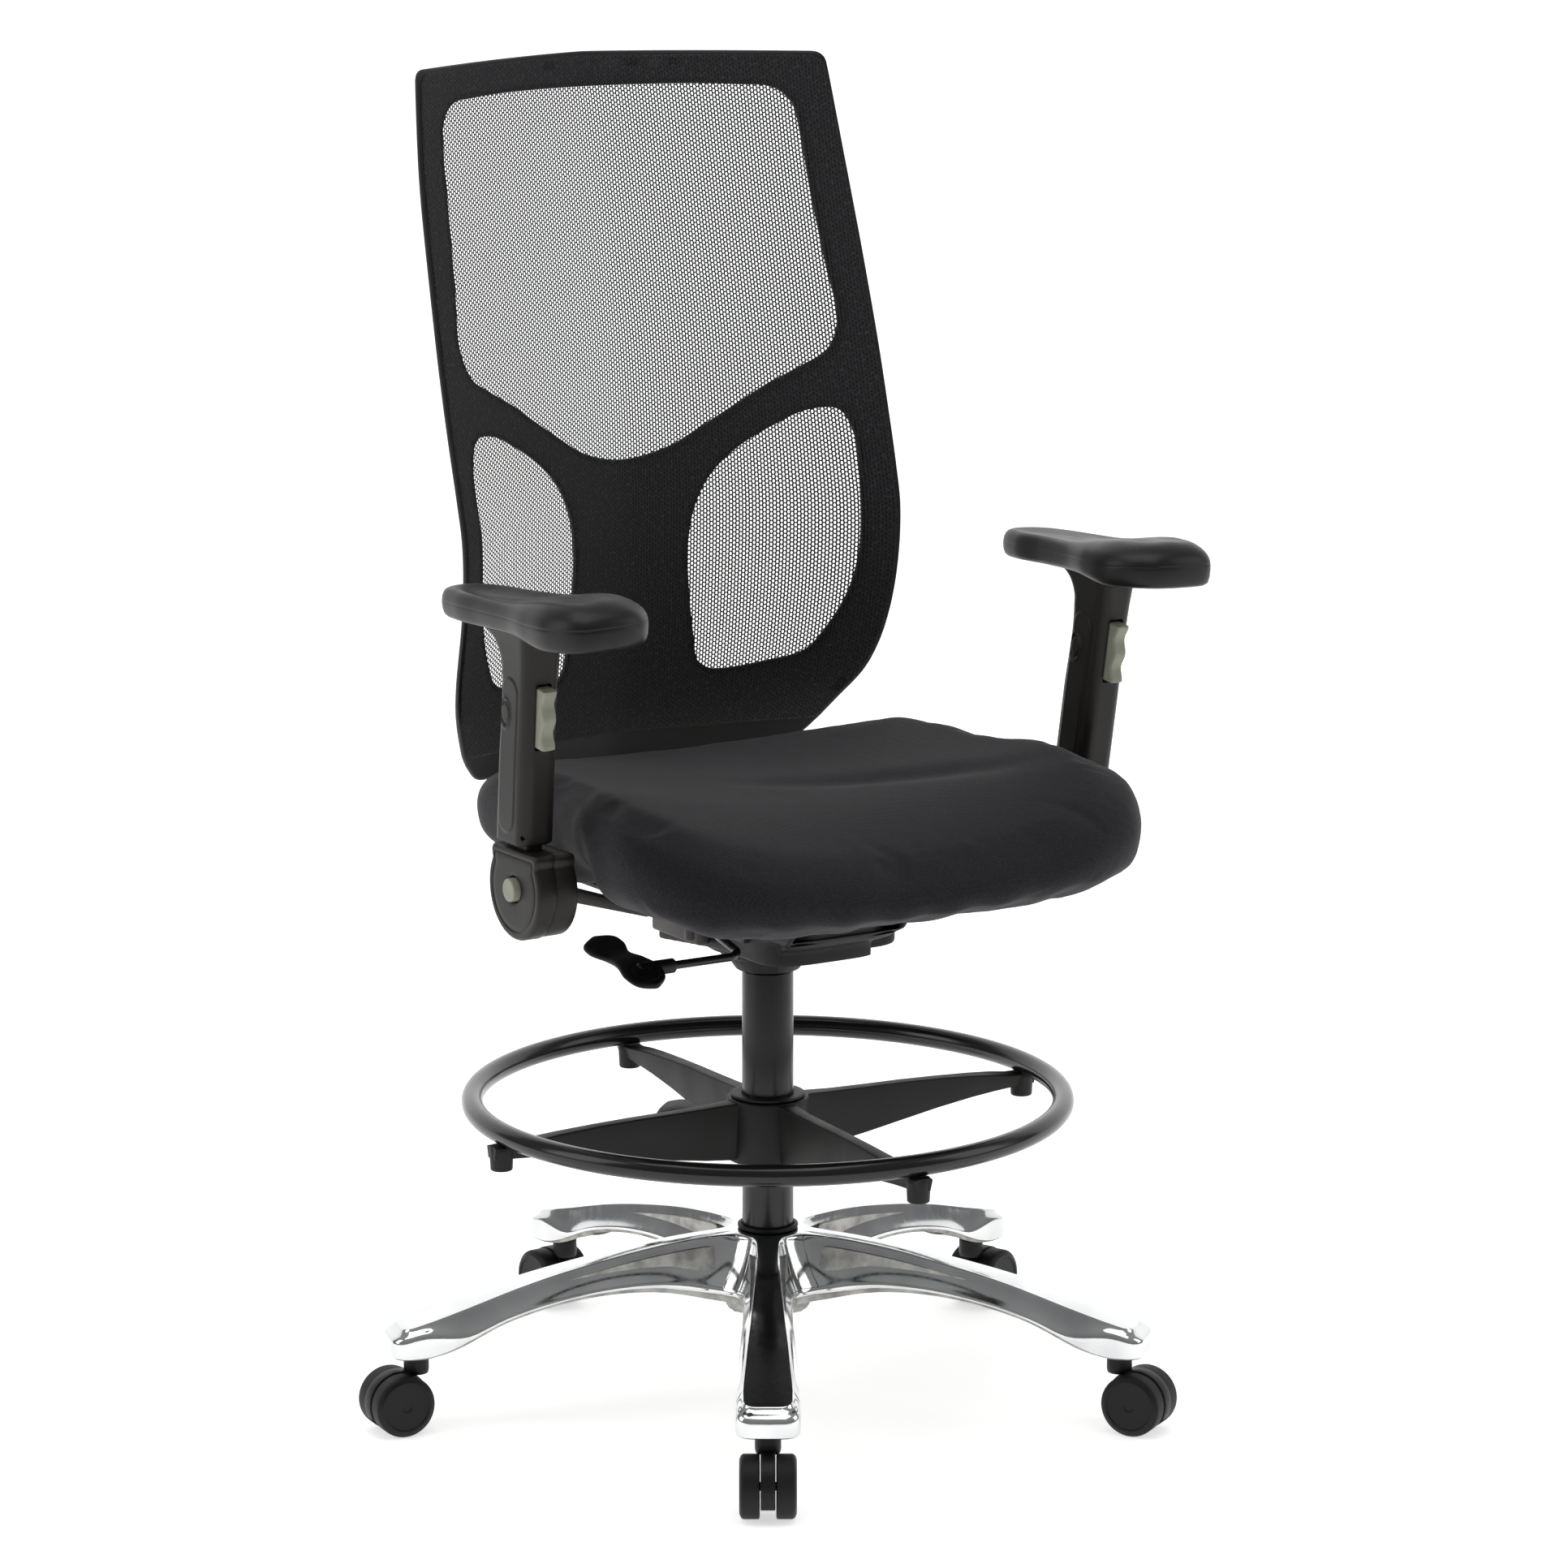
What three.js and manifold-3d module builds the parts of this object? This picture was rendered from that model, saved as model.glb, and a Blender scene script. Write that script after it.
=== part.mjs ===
// Drafting chair: mesh back, padded seat, flip-up height-adjustable arms, foot ring, gas lift and
// polished five-star base on twin-wheel casters. Millimetres, +Z up, the chair faces -Y and +X is the
// sitter's left. The origin is on the floor under the middle of the chair's bounding box.
import * as THREE from "three";
import { mergeVertices } from "three/addons/utils/BufferGeometryUtils.js";
import Module from "manifold-3d";

const wasm = await Module();
wasm.setup();

// ---- driving dimensions ----
const GAP = 0.3; // clearance between neighbouring solids
const COLUMN_X = 7; // column axis, measured from the origin
const COLUMN_Y = -25;
const DEG = Math.PI / 180;

const CASTER = { wheelR: 30, wheelWide: 19, overall: 53, stemRadius: 356, trail: 21, stemR: 5.5, facets: 20 };
const STEM_SIDES = 8; // the socket is wider, so that the stem's corners clear its flats as it swivels
const BASE = { tip: 385, hubR: 41, hubTop: 170, hubBottom: 90, armAngle: -122, arms: 5 };
const COLUMN = { outer: 25, collar: 29.5, inner: 23, bottom: 84, top: 428, floor: 4 };
const LIFT = { cylR: 14, boreR: 9, cylBottom: 112, taperFrom: 436, cylTop: 500, rodR: 5, rodTop: 458 };
const RING = { radius: 287.4, tubeR: 10.5, z: 300.7, spokeAngle: -3, spokes: 4 };
const RING_HUB = { outer: 40, bushing: 33, top: 302, bottom: 240 };
const KNOB = { angle: 132, z: 276, from: 56, length: 46, wide: 62, high: 24 };
const HOUSING = { half: 66, wall: 5, plateHalf: 84, floor: 468 };
const TILT = { y: -60, z: 488, pinR: 6, earHalf: 10 };
const RECLINE = { y: 70, z: 484 };
const LEVER = { y: -42, z: 497, drop: 480, reachY: -124, endX: -196, rodR: 4 };
const TENSION = { y: 24, z: 486, shankR: 5, knobR: 21, coilR: 13.5, wireR: 1.5, coilHalf: 44 };
const SEAT = { bottom: 540, panThick: 6, middle: -46 };
const BACK = { half: 250, top: 1291, bottom: 590, frameDeep: 17, meshThick: 1.2, meshBottom: 620 };
const ARM = { pivotX: 309, pivotY: -86, pivotZ: 563, knuckleR: 48, knuckleThick: 42, lean: 8, splay: 2 };
const POST = { out: 3, back: 14, wide: 18, deep: 40, bottom: 44, top: 190, innerShell: 23 };
const SLEEVE = { wide: 38, deep: 54, bottom: 43.5, top: 238, slotLow: 141, slotHigh: 203, slotHalf: 7 };
const PAD = { length: 292, setBack: 6, rise: 2.5, lift: 9 };

// ---- materials ----
const finish = (color, roughness, metalness) => new THREE.MeshStandardMaterial({ color, roughness, metalness });
const polishedAluminium = finish(0xdfe0e2, 0.12, 1);
const blackNylon = finish(0x1c1a19, 0.55, 0);
const blackPaint = finish(0x161516, 0.35, 0.3);
const blackPolyurethane = finish(0x232325, 0.5, 0);
const blackFabric = finish(0x17171c, 0.95, 0);
const blackMesh = finish(0x101012, 0.85, 0);
const greyPlastic = finish(0x97978a, 0.5, 0);
const zincSteel = finish(0xa9a9a6, 0.35, 1);
const blackSteel = finish(0x3a3632, 0.5, 0.6);

// ---- geometry helpers ----
const chair = new THREE.Group();
chair.position.set(COLUMN_X, COLUMN_Y, 0);

function add(name, geometry, material, parent = chair) {
  const mesh = new THREE.Mesh(geometry, material);
  mesh.name = name;
  parent.add(mesh);
  return mesh;
}

function toSolid(geometry) {
  const bare = geometry.clone();
  bare.deleteAttribute("normal");
  bare.deleteAttribute("uv");
  const merged = mergeVertices(bare, 1e-4);
  const vertProperties = new Float32Array(merged.attributes.position.array);
  const triVerts = new Uint32Array(merged.index.array);
  return new wasm.Manifold(new wasm.Mesh({ numProp: 3, vertProperties, triVerts }));
}

function toGeometry(solid) {
  const { vertProperties, triVerts } = solid.getMesh();
  const geometry = new THREE.BufferGeometry();
  geometry.setAttribute("position", new THREE.BufferAttribute(vertProperties, 3));
  geometry.setIndex(new THREE.BufferAttribute(triVerts, 1));
  return geometry;
}

const join = (...parts) => toGeometry(parts.map(toSolid).reduce((a, b) => a.add(b)));
const cut = (body, ...tools) => toGeometry(tools.map(toSolid).reduce((a, b) => a.subtract(b), toSolid(body)));
const common = (a, b) => toGeometry(toSolid(a).intersect(toSolid(b)));

// A closed skin through rings of equal length, fanned shut at both ends.
function loft(rings) {
  const n = rings[0].length;
  const points = rings.flat();
  const index = [];
  for (let r = 0; r + 1 < rings.length; r += 1) {
    for (let i = 0; i < n; i += 1) {
      const j = (i + 1) % n;
      const [a, b, c, d] = [r * n + i, r * n + j, (r + 1) * n + j, (r + 1) * n + i];
      index.push(a, b, c, a, c, d);
    }
  }
  for (const [start, flip] of [[0, true], [(rings.length - 1) * n, false]]) {
    const middle = new THREE.Vector3();
    for (let i = 0; i < n; i += 1) middle.addScaledVector(points[start + i], 1 / n);
    points.push(middle);
    const hub = points.length - 1;
    for (let i = 0; i < n; i += 1) {
      const pair = [start + i, start + ((i + 1) % n)];
      index.push(hub, ...(flip ? pair.reverse() : pair));
    }
  }
  let volume = 0;
  for (let t = 0; t < index.length; t += 3) {
    const [a, b, c] = [points[index[t]], points[index[t + 1]], points[index[t + 2]]];
    volume += a.dot(b.clone().cross(c));
  }
  if (volume < 0) index.reverse();
  const geometry = new THREE.BufferGeometry().setFromPoints(points);
  geometry.setIndex(index);
  return geometry;
}

// A solid of revolution about Z from [radius, z] pairs.
function lathe(profile, segments = 20) {
  const turned = new THREE.LatheGeometry(profile.map(([r, z]) => new THREE.Vector2(r, z)), segments);
  const solid = mergeVertices(stripped(turned), 1e-4);
  solid.rotateX(Math.PI / 2);
  return outward(withoutSlivers(solid));
}

function stripped(geometry) {
  geometry.deleteAttribute("normal");
  geometry.deleteAttribute("uv");
  return geometry;
}

function withoutSlivers(geometry) {
  const index = [...geometry.index.array];
  const kept = [];
  for (let t = 0; t < index.length; t += 3) {
    const [a, b, c] = index.slice(t, t + 3);
    if (a !== b && b !== c && c !== a) kept.push(a, b, c);
  }
  geometry.setIndex(kept);
  return geometry;
}

function outward(geometry) {
  const index = [...geometry.index.array];
  const p = geometry.attributes.position;
  const corner = (i) => new THREE.Vector3().fromBufferAttribute(p, i);
  let volume = 0;
  for (let t = 0; t < index.length; t += 3) {
    volume += corner(index[t]).dot(corner(index[t + 1]).cross(corner(index[t + 2])));
  }
  if (volume < 0) geometry.setIndex(index.reverse());
  return geometry;
}

function tube(inner, outer, bottom, top, segments = 20) {
  return lathe([[inner, bottom], [outer, bottom], [outer, top], [inner, top], [inner, bottom]], segments);
}

function rod(radius, bottom, top, segments = 14) {
  return lathe([[0, bottom], [radius, bottom], [radius, top], [0, top]], segments);
}

function alongX(geometry) {
  return geometry.rotateY(Math.PI / 2);
}

function box(x0, x1, y0, y1, z0, z1) {
  const geometry = new THREE.BoxGeometry(x1 - x0, y1 - y0, z1 - z0);
  return geometry.translate((x0 + x1) / 2, (y0 + y1) / 2, (z0 + z1) / 2);
}

// Extrudes a side outline of [y, z] points across X, from x0 to x1.
function sideExtrusion(outline, x0, x1) {
  const shape = new THREE.Shape(outline.map(([y, z]) => new THREE.Vector2(y, z)));
  const geometry = new THREE.ExtrudeGeometry(shape, { depth: x1 - x0, bevelEnabled: false });
  geometry.applyMatrix4(new THREE.Matrix4().set(0, 0, 1, x0, 1, 0, 0, 0, 0, 1, 0, 0, 0, 0, 0, 1));
  return geometry;
}

// Points of a rounded rectangle about (x, y) at height z, counter-clockwise.
function roundedRing(x, y, z, wide, deep, radius, perCorner = 4) {
  const ring = [];
  for (let corner = 0; corner < 4; corner += 1) {
    const [sx, sy] = [[1, 1], [-1, 1], [-1, -1], [1, -1]][corner];
    for (let i = 0; i < perCorner; i += 1) {
      const angle = (corner + i / (perCorner - 1)) * (Math.PI / 2);
      const cx = x + sx * (wide / 2 - radius);
      const cy = y + sy * (deep / 2 - radius);
      ring.push(new THREE.Vector3(cx + radius * Math.cos(angle), cy + radius * Math.sin(angle), z));
    }
  }
  return ring;
}

// Smooth value through [position, value] pairs.
function ramp(table, at) {
  if (at <= table[0][0]) return table[0][1];
  for (let i = 1; i < table.length; i += 1) {
    const [p0, v0] = table[i - 1];
    const [p1, v1] = table[i];
    if (at <= p1) return v0 + ((v1 - v0) * (at - p0)) / (p1 - p0);
  }
  return table[table.length - 1][1];
}

// ---- five-star base ----
const ARM_TOP = [[0, 169], [55, 169], [121, 163], [187, 152], [252, 138], [317, 120], [385, 102]];
const ARM_UNDER = [[0, 92], [55, 106], [121, 119], [204, 118], [269, 104], [330, 80], [385, 76]];
const ARM_RIDGE = [[0, 10], [120, 11], [200, 14.5], [280, 19], [340, 23], [385, 24]];
const ARM_SKIRT = [[0, 27], [80, 24], [200, 25], [280, 28], [340, 30.8], [385, 30.8]];

function armRing(r, shrink) {
  const top = ramp(ARM_TOP, r);
  const under = ramp(ARM_UNDER, r);
  const ridge = ramp(ARM_RIDGE, r) * shrink;
  const skirt = ramp(ARM_SKIRT, r) * shrink;
  const high = top - under;
  const half = [
    [skirt, under],
    [skirt, under + 0.22 * high],
    [ridge + 0.3 * (skirt - ridge), under + 0.6 * high],
    [ridge, top - 0.09 * high],
    [ridge - 3 * shrink, top],
  ];
  const other = half.map(([u, z]) => [-u, z]).reverse();
  return [...half, ...other].map(([u, z]) => new THREE.Vector3(r, u, z));
}

function baseArm() {
  const rings = [];
  for (const r of [0, 55, 120, 187, 252, 317, 356]) rings.push(armRing(r, 1));
  for (const [r, shrink] of [[372, 0.94], [BASE.tip, 0.62]]) rings.push(armRing(r, shrink));
  return loft(rings);
}

// The hollow under an arm, between the hub and the caster socket.
function armHollow() {
  const wall = 6;
  const rings = [];
  for (const r of [62, 120, 204, 269, 332]) {
    const under = ramp(ARM_UNDER, r);
    const ceiling = ramp(ARM_TOP, r) - 10;
    const skirt = ramp(ARM_SKIRT, r) - wall;
    const ridge = Math.max(ramp(ARM_RIDGE, r) - wall, 4);
    const half = [[skirt, under - 4], [skirt, under + 8], [ridge, ceiling]];
    const other = half.map(([u, z]) => [-u, z]).reverse();
    rings.push([...half, ...other].map(([u, z]) => new THREE.Vector3(r, u, z)));
  }
  return loft(rings);
}

function starBase() {
  const hub = [[0, BASE.hubBottom], [BASE.hubR, BASE.hubBottom], [BASE.hubR - 3, BASE.hubTop], [0, BASE.hubTop]];
  let solid = toSolid(lathe(hub, 24));
  for (let k = 0; k < BASE.arms; k += 1) {
    const turn = (BASE.armAngle + (k * 360) / BASE.arms) * DEG;
    solid = solid.add(toSolid(baseArm().rotateZ(turn)));
  }
  solid = solid.subtract(toSolid(rod(COLUMN.outer + GAP, BASE.hubBottom - 5, BASE.hubTop + 5, 20)));
  for (let k = 0; k < BASE.arms; k += 1) {
    const turn = (BASE.armAngle + (k * 360) / BASE.arms) * DEG;
    solid = solid.subtract(toSolid(armHollow().rotateZ(turn)));
    const socket = rod((CASTER.stemR + GAP) / Math.cos(Math.PI / STEM_SIDES), 60, 98, STEM_SIDES);
    socket.translate(CASTER.stemRadius, 0, 0);
    solid = solid.subtract(toSolid(socket.rotateZ(turn)));
  }
  return toGeometry(solid);
}

// ---- casters ----
function casterFork() {
  const stem = rod(CASTER.stemR, 48, 97, STEM_SIDES);
  const flange = rod(12, 58, 75.4, 12);
  const hoodHalf = CASTER.overall / 2 - CASTER.wheelWide - GAP;
  const outline = [];
  const crown = CASTER.wheelR + 1;
  for (let i = 0; i <= 8; i += 1) {
    const angle = (-20 + (i * 220) / 8) * DEG;
    outline.push([CASTER.trail + crown * Math.cos(angle), CASTER.wheelR + crown * Math.sin(angle)]);
  }
  const hood = sideExtrusion(outline, -hoodHalf, hoodHalf);
  hood.rotateZ(-Math.PI / 2);
  const axleR = 4;
  const axle = alongX(rod(axleR, -CASTER.overall / 2 + 3, CASTER.overall / 2 - 3, 10));
  axle.rotateZ(Math.PI / 2);
  axle.translate(CASTER.trail, 0, CASTER.wheelR);
  return join(join(stem, flange), join(hood, axle));
}

function casterWheel(side) {
  const half = CASTER.overall / 2;
  const inner = half - CASTER.wheelWide;
  const axleGap = 4 + GAP;
  const tread = CASTER.wheelR / Math.cos(Math.PI / CASTER.facets); // a flat facet meets the floor
  const wheel = lathe([
    [0, half - 2.7], [axleGap, half - 2.7], [axleGap, inner], [27, inner], [tread, inner + 3],
    [tread, half - 4], [tread - 4, half], [0, half],
  ], CASTER.facets);
  wheel.rotateZ(Math.PI / 2 + Math.PI / CASTER.facets);
  wheel.rotateX(side * -Math.PI / 2);
  wheel.translate(CASTER.trail, 0, CASTER.wheelR);
  return wheel;
}

const CASTER_SWING = [0, -9, 0, 0, 9]; // how far each caster has turned from straight outwards

function casters() {
  for (let k = 0; k < BASE.arms; k += 1) {
    const turn = (BASE.armAngle + (k * 360) / BASE.arms) * DEG;
    const caster = new THREE.Group();
    caster.position.set(CASTER.stemRadius * Math.cos(turn), CASTER.stemRadius * Math.sin(turn), 0);
    caster.rotation.z = turn + CASTER_SWING[k] * DEG;
    chair.add(caster);
    add(`caster_fork_${k + 1}`, casterFork(), blackNylon, caster);
    add(`caster_wheel_left_${k + 1}`, casterWheel(1), blackNylon, caster);
    add(`caster_wheel_right_${k + 1}`, casterWheel(-1), blackNylon, caster);
  }
}

// ---- column and gas lift ----
function column() {
  const seatR = LIFT.rodR + GAP;
  const wall = [
    [seatR, COLUMN.bottom], [COLUMN.outer, COLUMN.bottom], [COLUMN.outer, COLUMN.top], [COLUMN.inner, COLUMN.top],
    [COLUMN.inner, COLUMN.bottom + COLUMN.floor], [seatR, COLUMN.bottom + COLUMN.floor], [seatR, COLUMN.bottom],
  ];
  add("column_tube", lathe(wall), blackPaint);
  add("column_collar", tube(COLUMN.outer + GAP, COLUMN.collar, BASE.hubTop + GAP, BASE.hubTop + 4), blackNylon);
  add("column_bushing", tube(LIFT.cylR + GAP, COLUMN.inner - GAP, 336, COLUMN.top - 1), blackNylon);
  const bearingBottom = COLUMN.bottom + COLUMN.floor + GAP;
  add("thrust_bearing", tube(seatR, 15, bearingBottom, bearingBottom + 5), zincSteel);
  const shoulder = bearingBottom + 5 + GAP;
  add("piston_rod", lathe([
    [0, 76], [LIFT.rodR, 76], [LIFT.rodR, shoulder], [8, shoulder], [8, shoulder + 4], [LIFT.rodR, shoulder + 4],
    [LIFT.rodR, LIFT.rodTop - 14], [LIFT.boreR - GAP, LIFT.rodTop - 14], [LIFT.boreR - GAP, LIFT.rodTop],
    [0, LIFT.rodTop],
  ], 20), zincSteel);
  add("retaining_clip", tube(seatR, 11, COLUMN.bottom - 3, COLUMN.bottom - GAP, 20), zincSteel);
  add("gas_cylinder", lathe([
    [0, LIFT.rodTop + 6], [LIFT.boreR, LIFT.rodTop + 6], [LIFT.boreR, LIFT.cylBottom + 8],
    [seatR, LIFT.cylBottom + 8], [seatR, LIFT.cylBottom], [LIFT.cylR, LIFT.cylBottom],
    [LIFT.cylR, LIFT.taperFrom], [LIFT.cylR - 1.5, LIFT.cylTop], [3.3, LIFT.cylTop], [3.3, LIFT.rodTop + 16],
    [0, LIFT.rodTop + 16],
  ], 18), blackPaint);
  add("valve_button", rod(3, LIFT.rodTop + 20, LIFT.cylTop + 6, 12), zincSteel);
}

// ---- foot ring ----
function footRing() {
  add("footring_tube", new THREE.TorusGeometry(RING.radius, RING.tubeR, 8, 40), blackPaint).position.z = RING.z;
  let hub = toSolid(tube(RING_HUB.bushing, RING_HUB.outer, RING_HUB.bottom, RING_HUB.top, 24));
  const underRing = RING.z - RING.tubeR - GAP;
  for (let k = 0; k < RING.spokes; k += 1) {
    const turn = (RING.spokeAngle + (k * 360) / RING.spokes) * DEG;
    const inner = RING.radius - RING.tubeR - 4;
    const outline = [
      [36, RING_HUB.top - 3], [inner - 10, RING_HUB.top - 10], [inner, underRing], [RING.radius + 12, underRing],
      [RING.radius + 12, underRing - 10], [inner - 12, underRing - 13], [36, RING_HUB.bottom + 3],
    ];
    const spoke = sideExtrusion(outline, -8, 8);
    spoke.rotateZ(-Math.PI / 2);
    const foot = rod(12, underRing - 24, underRing - 4, 12);
    foot.translate(RING.radius + 2, 0, 0);
    hub = hub.add(toSolid(spoke.rotateZ(turn))).add(toSolid(foot.rotateZ(turn)));
  }
  hub = hub.subtract(toSolid(rod(RING_HUB.bushing, RING_HUB.bottom - 5, RING_HUB.top + 5, 24)));
  const knobTurn = KNOB.angle * DEG;
  const bore = alongX(rod(6 + GAP, 20, 60, 16));
  bore.translate(0, 0, KNOB.z);
  hub = hub.subtract(toSolid(bore.rotateZ(knobTurn)));
  add("footring_hub", toGeometry(hub), blackNylon);
  const sleeve = tube(COLUMN.outer + GAP, RING_HUB.bushing - GAP, RING_HUB.bottom, RING_HUB.top + 4, 24);
  add("footring_bushing", sleeve, blackNylon);
  const shank = alongX(rod(6, RING_HUB.bushing + 1, KNOB.from + 20));
  const rings = [];
  for (const [r, scale] of [[0, 0.3], [8, 0.55], [20, 0.9], [34, 1], [42, 0.92], [KNOB.length, 0.7]]) {
    rings.push(roundedRing(0, 0, r, KNOB.high * scale, KNOB.wide * scale, KNOB.high * scale * 0.48));
  }
  const grip = alongX(loft(rings));
  grip.translate(KNOB.from + 8, 0, 0);
  const knob = join(shank, grip);
  knob.translate(0, 0, KNOB.z);
  add("footring_knob", knob.rotateZ(knobTurn), blackNylon);
}

// ---- tilt mechanism ----
const HOUSING_SIDE = [
  [96, 448], [-34, 461], [-104, 468], [-134, 480], [-152, 500], [-154, 509], [68, 509], [96, 499],
];

function mechanism() {
  const shell = sideExtrusion(HOUSING_SIDE, -HOUSING.half, HOUSING.half);
  const boss = lathe([[0, 430], [31, 430], [38, 440], [46, 480], [0, 480]], 24);
  const block = box(-66, 50, -118, 20, 459, 480);
  const inside = HOUSING.half - HOUSING.wall;
  const rearHollow = box(-inside, inside, -100, 110, HOUSING.floor, 520);
  const frontHollow = box(-inside, inside, -148, -99, 488, 520);
  const pillar = rod(24, HOUSING.floor - 10, 498, 24);
  const body = join(cut(join(join(shell, boss), block), rearHollow, frontHollow), pillar);
  const socket = rod(LIFT.cylR + GAP, 400, 520, 18);
  const acrossBore = (radius, y, z) => alongX(rod(radius + GAP, -100, 100, 16)).translate(0, y, z);
  const leverBore = alongX(rod(LEVER.rodR + GAP, -80, -50, 12)).translate(0, LEVER.y, LEVER.z);
  const tensionBore = alongX(rod(TENSION.shankR + GAP, 50, 80, 12)).translate(0, TENSION.y, TENSION.z);
  const bores = [socket, acrossBore(TILT.pinR, TILT.y, TILT.z), acrossBore(TILT.pinR, RECLINE.y, RECLINE.z)];
  add("tilt_housing", cut(body, ...bores, leverBore, tensionBore), blackNylon);
  const pinHalf = HOUSING.half + 6;
  add("tilt_pin", alongX(rod(TILT.pinR, -pinHalf, pinHalf)).translate(0, TILT.y, TILT.z), zincSteel);
  add("recline_pin", alongX(rod(TILT.pinR, -pinHalf, pinHalf)).translate(0, RECLINE.y, RECLINE.z), zincSteel);
}

function tensionParts() {
  const turns = 7;
  const perTurn = 8;
  const path = [];
  for (let i = 0; i <= turns * perTurn; i += 1) {
    const angle = (i / perTurn) * 2 * Math.PI;
    const x = -TENSION.coilHalf + (2 * TENSION.coilHalf * i) / (turns * perTurn);
    path.push(new THREE.Vector3(x, TENSION.coilR * Math.cos(angle), TENSION.coilR * Math.sin(angle)));
  }
  const wire = new THREE.Shape();
  wire.absarc(0, 0, TENSION.wireR, 0, 2 * Math.PI);
  const extrudePath = new THREE.CatmullRomCurve3(path);
  const options = { steps: turns * perTurn, extrudePath, bevelEnabled: false, curveSegments: 3 };
  const spring = new THREE.ExtrudeGeometry(wire, options).translate(0, TILT.y, TILT.z);
  add("tension_spring", outward(mergeVertices(stripped(spring), 1e-4)), zincSteel);
  const knob = lathe([
    [0, 44], [TENSION.shankR, 44], [TENSION.shankR, 70], [TENSION.knobR - 2, 70], [TENSION.knobR, 74],
    [TENSION.knobR, 88], [TENSION.knobR - 3, 92], [0, 92],
  ], 16);
  add("tension_knob", alongX(knob).translate(0, TENSION.y, TENSION.z), blackNylon);
}

function liftLever() {
  const at = (x, y, z) => new THREE.Vector3(x, y, z);
  const route = [
    at(-62, LEVER.y, LEVER.z), at(-94, LEVER.y, LEVER.z), at(-102, LEVER.y - 6, LEVER.z - 2),
    at(-106, LEVER.reachY + 8, LEVER.drop + 2), at(-116, LEVER.reachY, LEVER.drop),
    at(LEVER.endX + 34, LEVER.reachY, LEVER.drop), at(LEVER.endX, LEVER.reachY, LEVER.drop),
  ];
  const wire = new THREE.Shape();
  wire.absarc(0, 0, LEVER.rodR, 0, 2 * Math.PI);
  const smooth = new THREE.CatmullRomCurve3(route, false, "catmullrom", 0.1);
  const options = { steps: 20, extrudePath: smooth, bevelEnabled: false, curveSegments: 4 };
  const bent = new THREE.ExtrudeGeometry(wire, options);
  add("lift_lever_rod", outward(mergeVertices(stripped(bent), 1e-4)), blackPaint);
  const rings = [];
  for (const [t, wide, lift] of [
    [-62, 14, 10], [-52, 30, 8], [-36, 38, 4], [-14, 30, 0], [10, 26, 0], [32, 38, -4], [46, 32, -7], [54, 14, -8],
  ]) {
    const ring = roundedRing(0, 0, t, wide, 7, 3.2, 3);
    rings.push(ring.map((p) => new THREE.Vector3(p.x, p.z, p.y - lift)));
  }
  const paddle = loft(rings);
  paddle.translate(LEVER.endX - 22, LEVER.reachY + 30, LEVER.drop + 4);
  const sleeve = alongX(rod(7, LEVER.endX - 20, LEVER.endX + 14, 12)).translate(0, LEVER.reachY, LEVER.drop);
  const bore = alongX(rod(LEVER.rodR + GAP, LEVER.endX - 3, LEVER.endX + 30, 12));
  bore.translate(0, LEVER.reachY, LEVER.drop);
  add("lift_lever_paddle", cut(join(paddle, sleeve), bore), blackNylon);
}

// ---- seat ----
const SEAT_HALF = [
  [-314, 0], [-311, 110], [-299, 196], [-272, 254], [-222, 284], [-160, 286], [-104, 270], [-60, 264],
  [-20, 262], [30, 260], [90, 258], [140, 250], [175, 230], [198, 180], [208, 90], [210, 0],
];

function seatOutline(count) {
  const right = SEAT_HALF.map(([y, x]) => new THREE.Vector3(x, y, 0));
  const left = SEAT_HALF.slice(1, -1).reverse().map(([y, x]) => new THREE.Vector3(-x, y, 0));
  const curve = new THREE.CatmullRomCurve3([...right, ...left], true, "centripetal");
  return curve.getSpacedPoints(count).slice(0, count);
}

const seatTop = (x, y) => {
  const bolster = 34 * (x / 270) ** 2 * Math.min(1, (230 - y) / 130);
  const waterfall = 42 * Math.max(0, (-y - 120) / 190) ** 2;
  return 618 + bolster - waterfall;
};
const seatUnder = (x) => SEAT.bottom + GAP + 34 * (Math.abs(x) / 270) ** 3;

function seatCushion() {
  const outline = seatOutline(40);
  const rings = [];
  const section = [[0.55, 0], [0.86, 0], [0.96, 0.12], [1, 0.4], [0.985, 0.68], [0.92, 0.88], [0.8, 1], [0.5, 1]];
  for (const [scale, rise] of section) {
    rings.push(outline.map((p) => {
      const x = p.x * scale;
      const y = SEAT.middle + (p.y - SEAT.middle) * scale;
      const low = seatUnder(x);
      return new THREE.Vector3(x, y, low + rise * (seatTop(x, y) - low));
    }));
  }
  return loft(rings);
}

function seat() {
  add("seat_cushion", seatCushion(), blackFabric);
  const panel = [];
  for (const z of [SEAT.bottom - SEAT.panThick, SEAT.bottom]) {
    panel.push(roundedRing(0, -20, z, 400, 400, 60, 6));
  }
  add("seat_pan", loft(panel), blackNylon);
  const plateTop = SEAT.bottom - SEAT.panThick - GAP;
  const plate = box(-HOUSING.plateHalf, HOUSING.plateHalf, -150, 50, plateTop - 4, plateTop);
  const earX = HOUSING.half + 2.5;
  const ears = [-earX, earX].map((x) => (
    box(x - 2, x + 2, TILT.y - TILT.earHalf, TILT.y + TILT.earHalf, TILT.z - 12, plateTop - 2)));
  const bore = alongX(rod(TILT.pinR + GAP, -100, 100, 16)).translate(0, TILT.y, TILT.z);
  add("seat_plate", cut(join(join(plate, ears[0]), ears[1]), bore), blackSteel);
}

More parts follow.
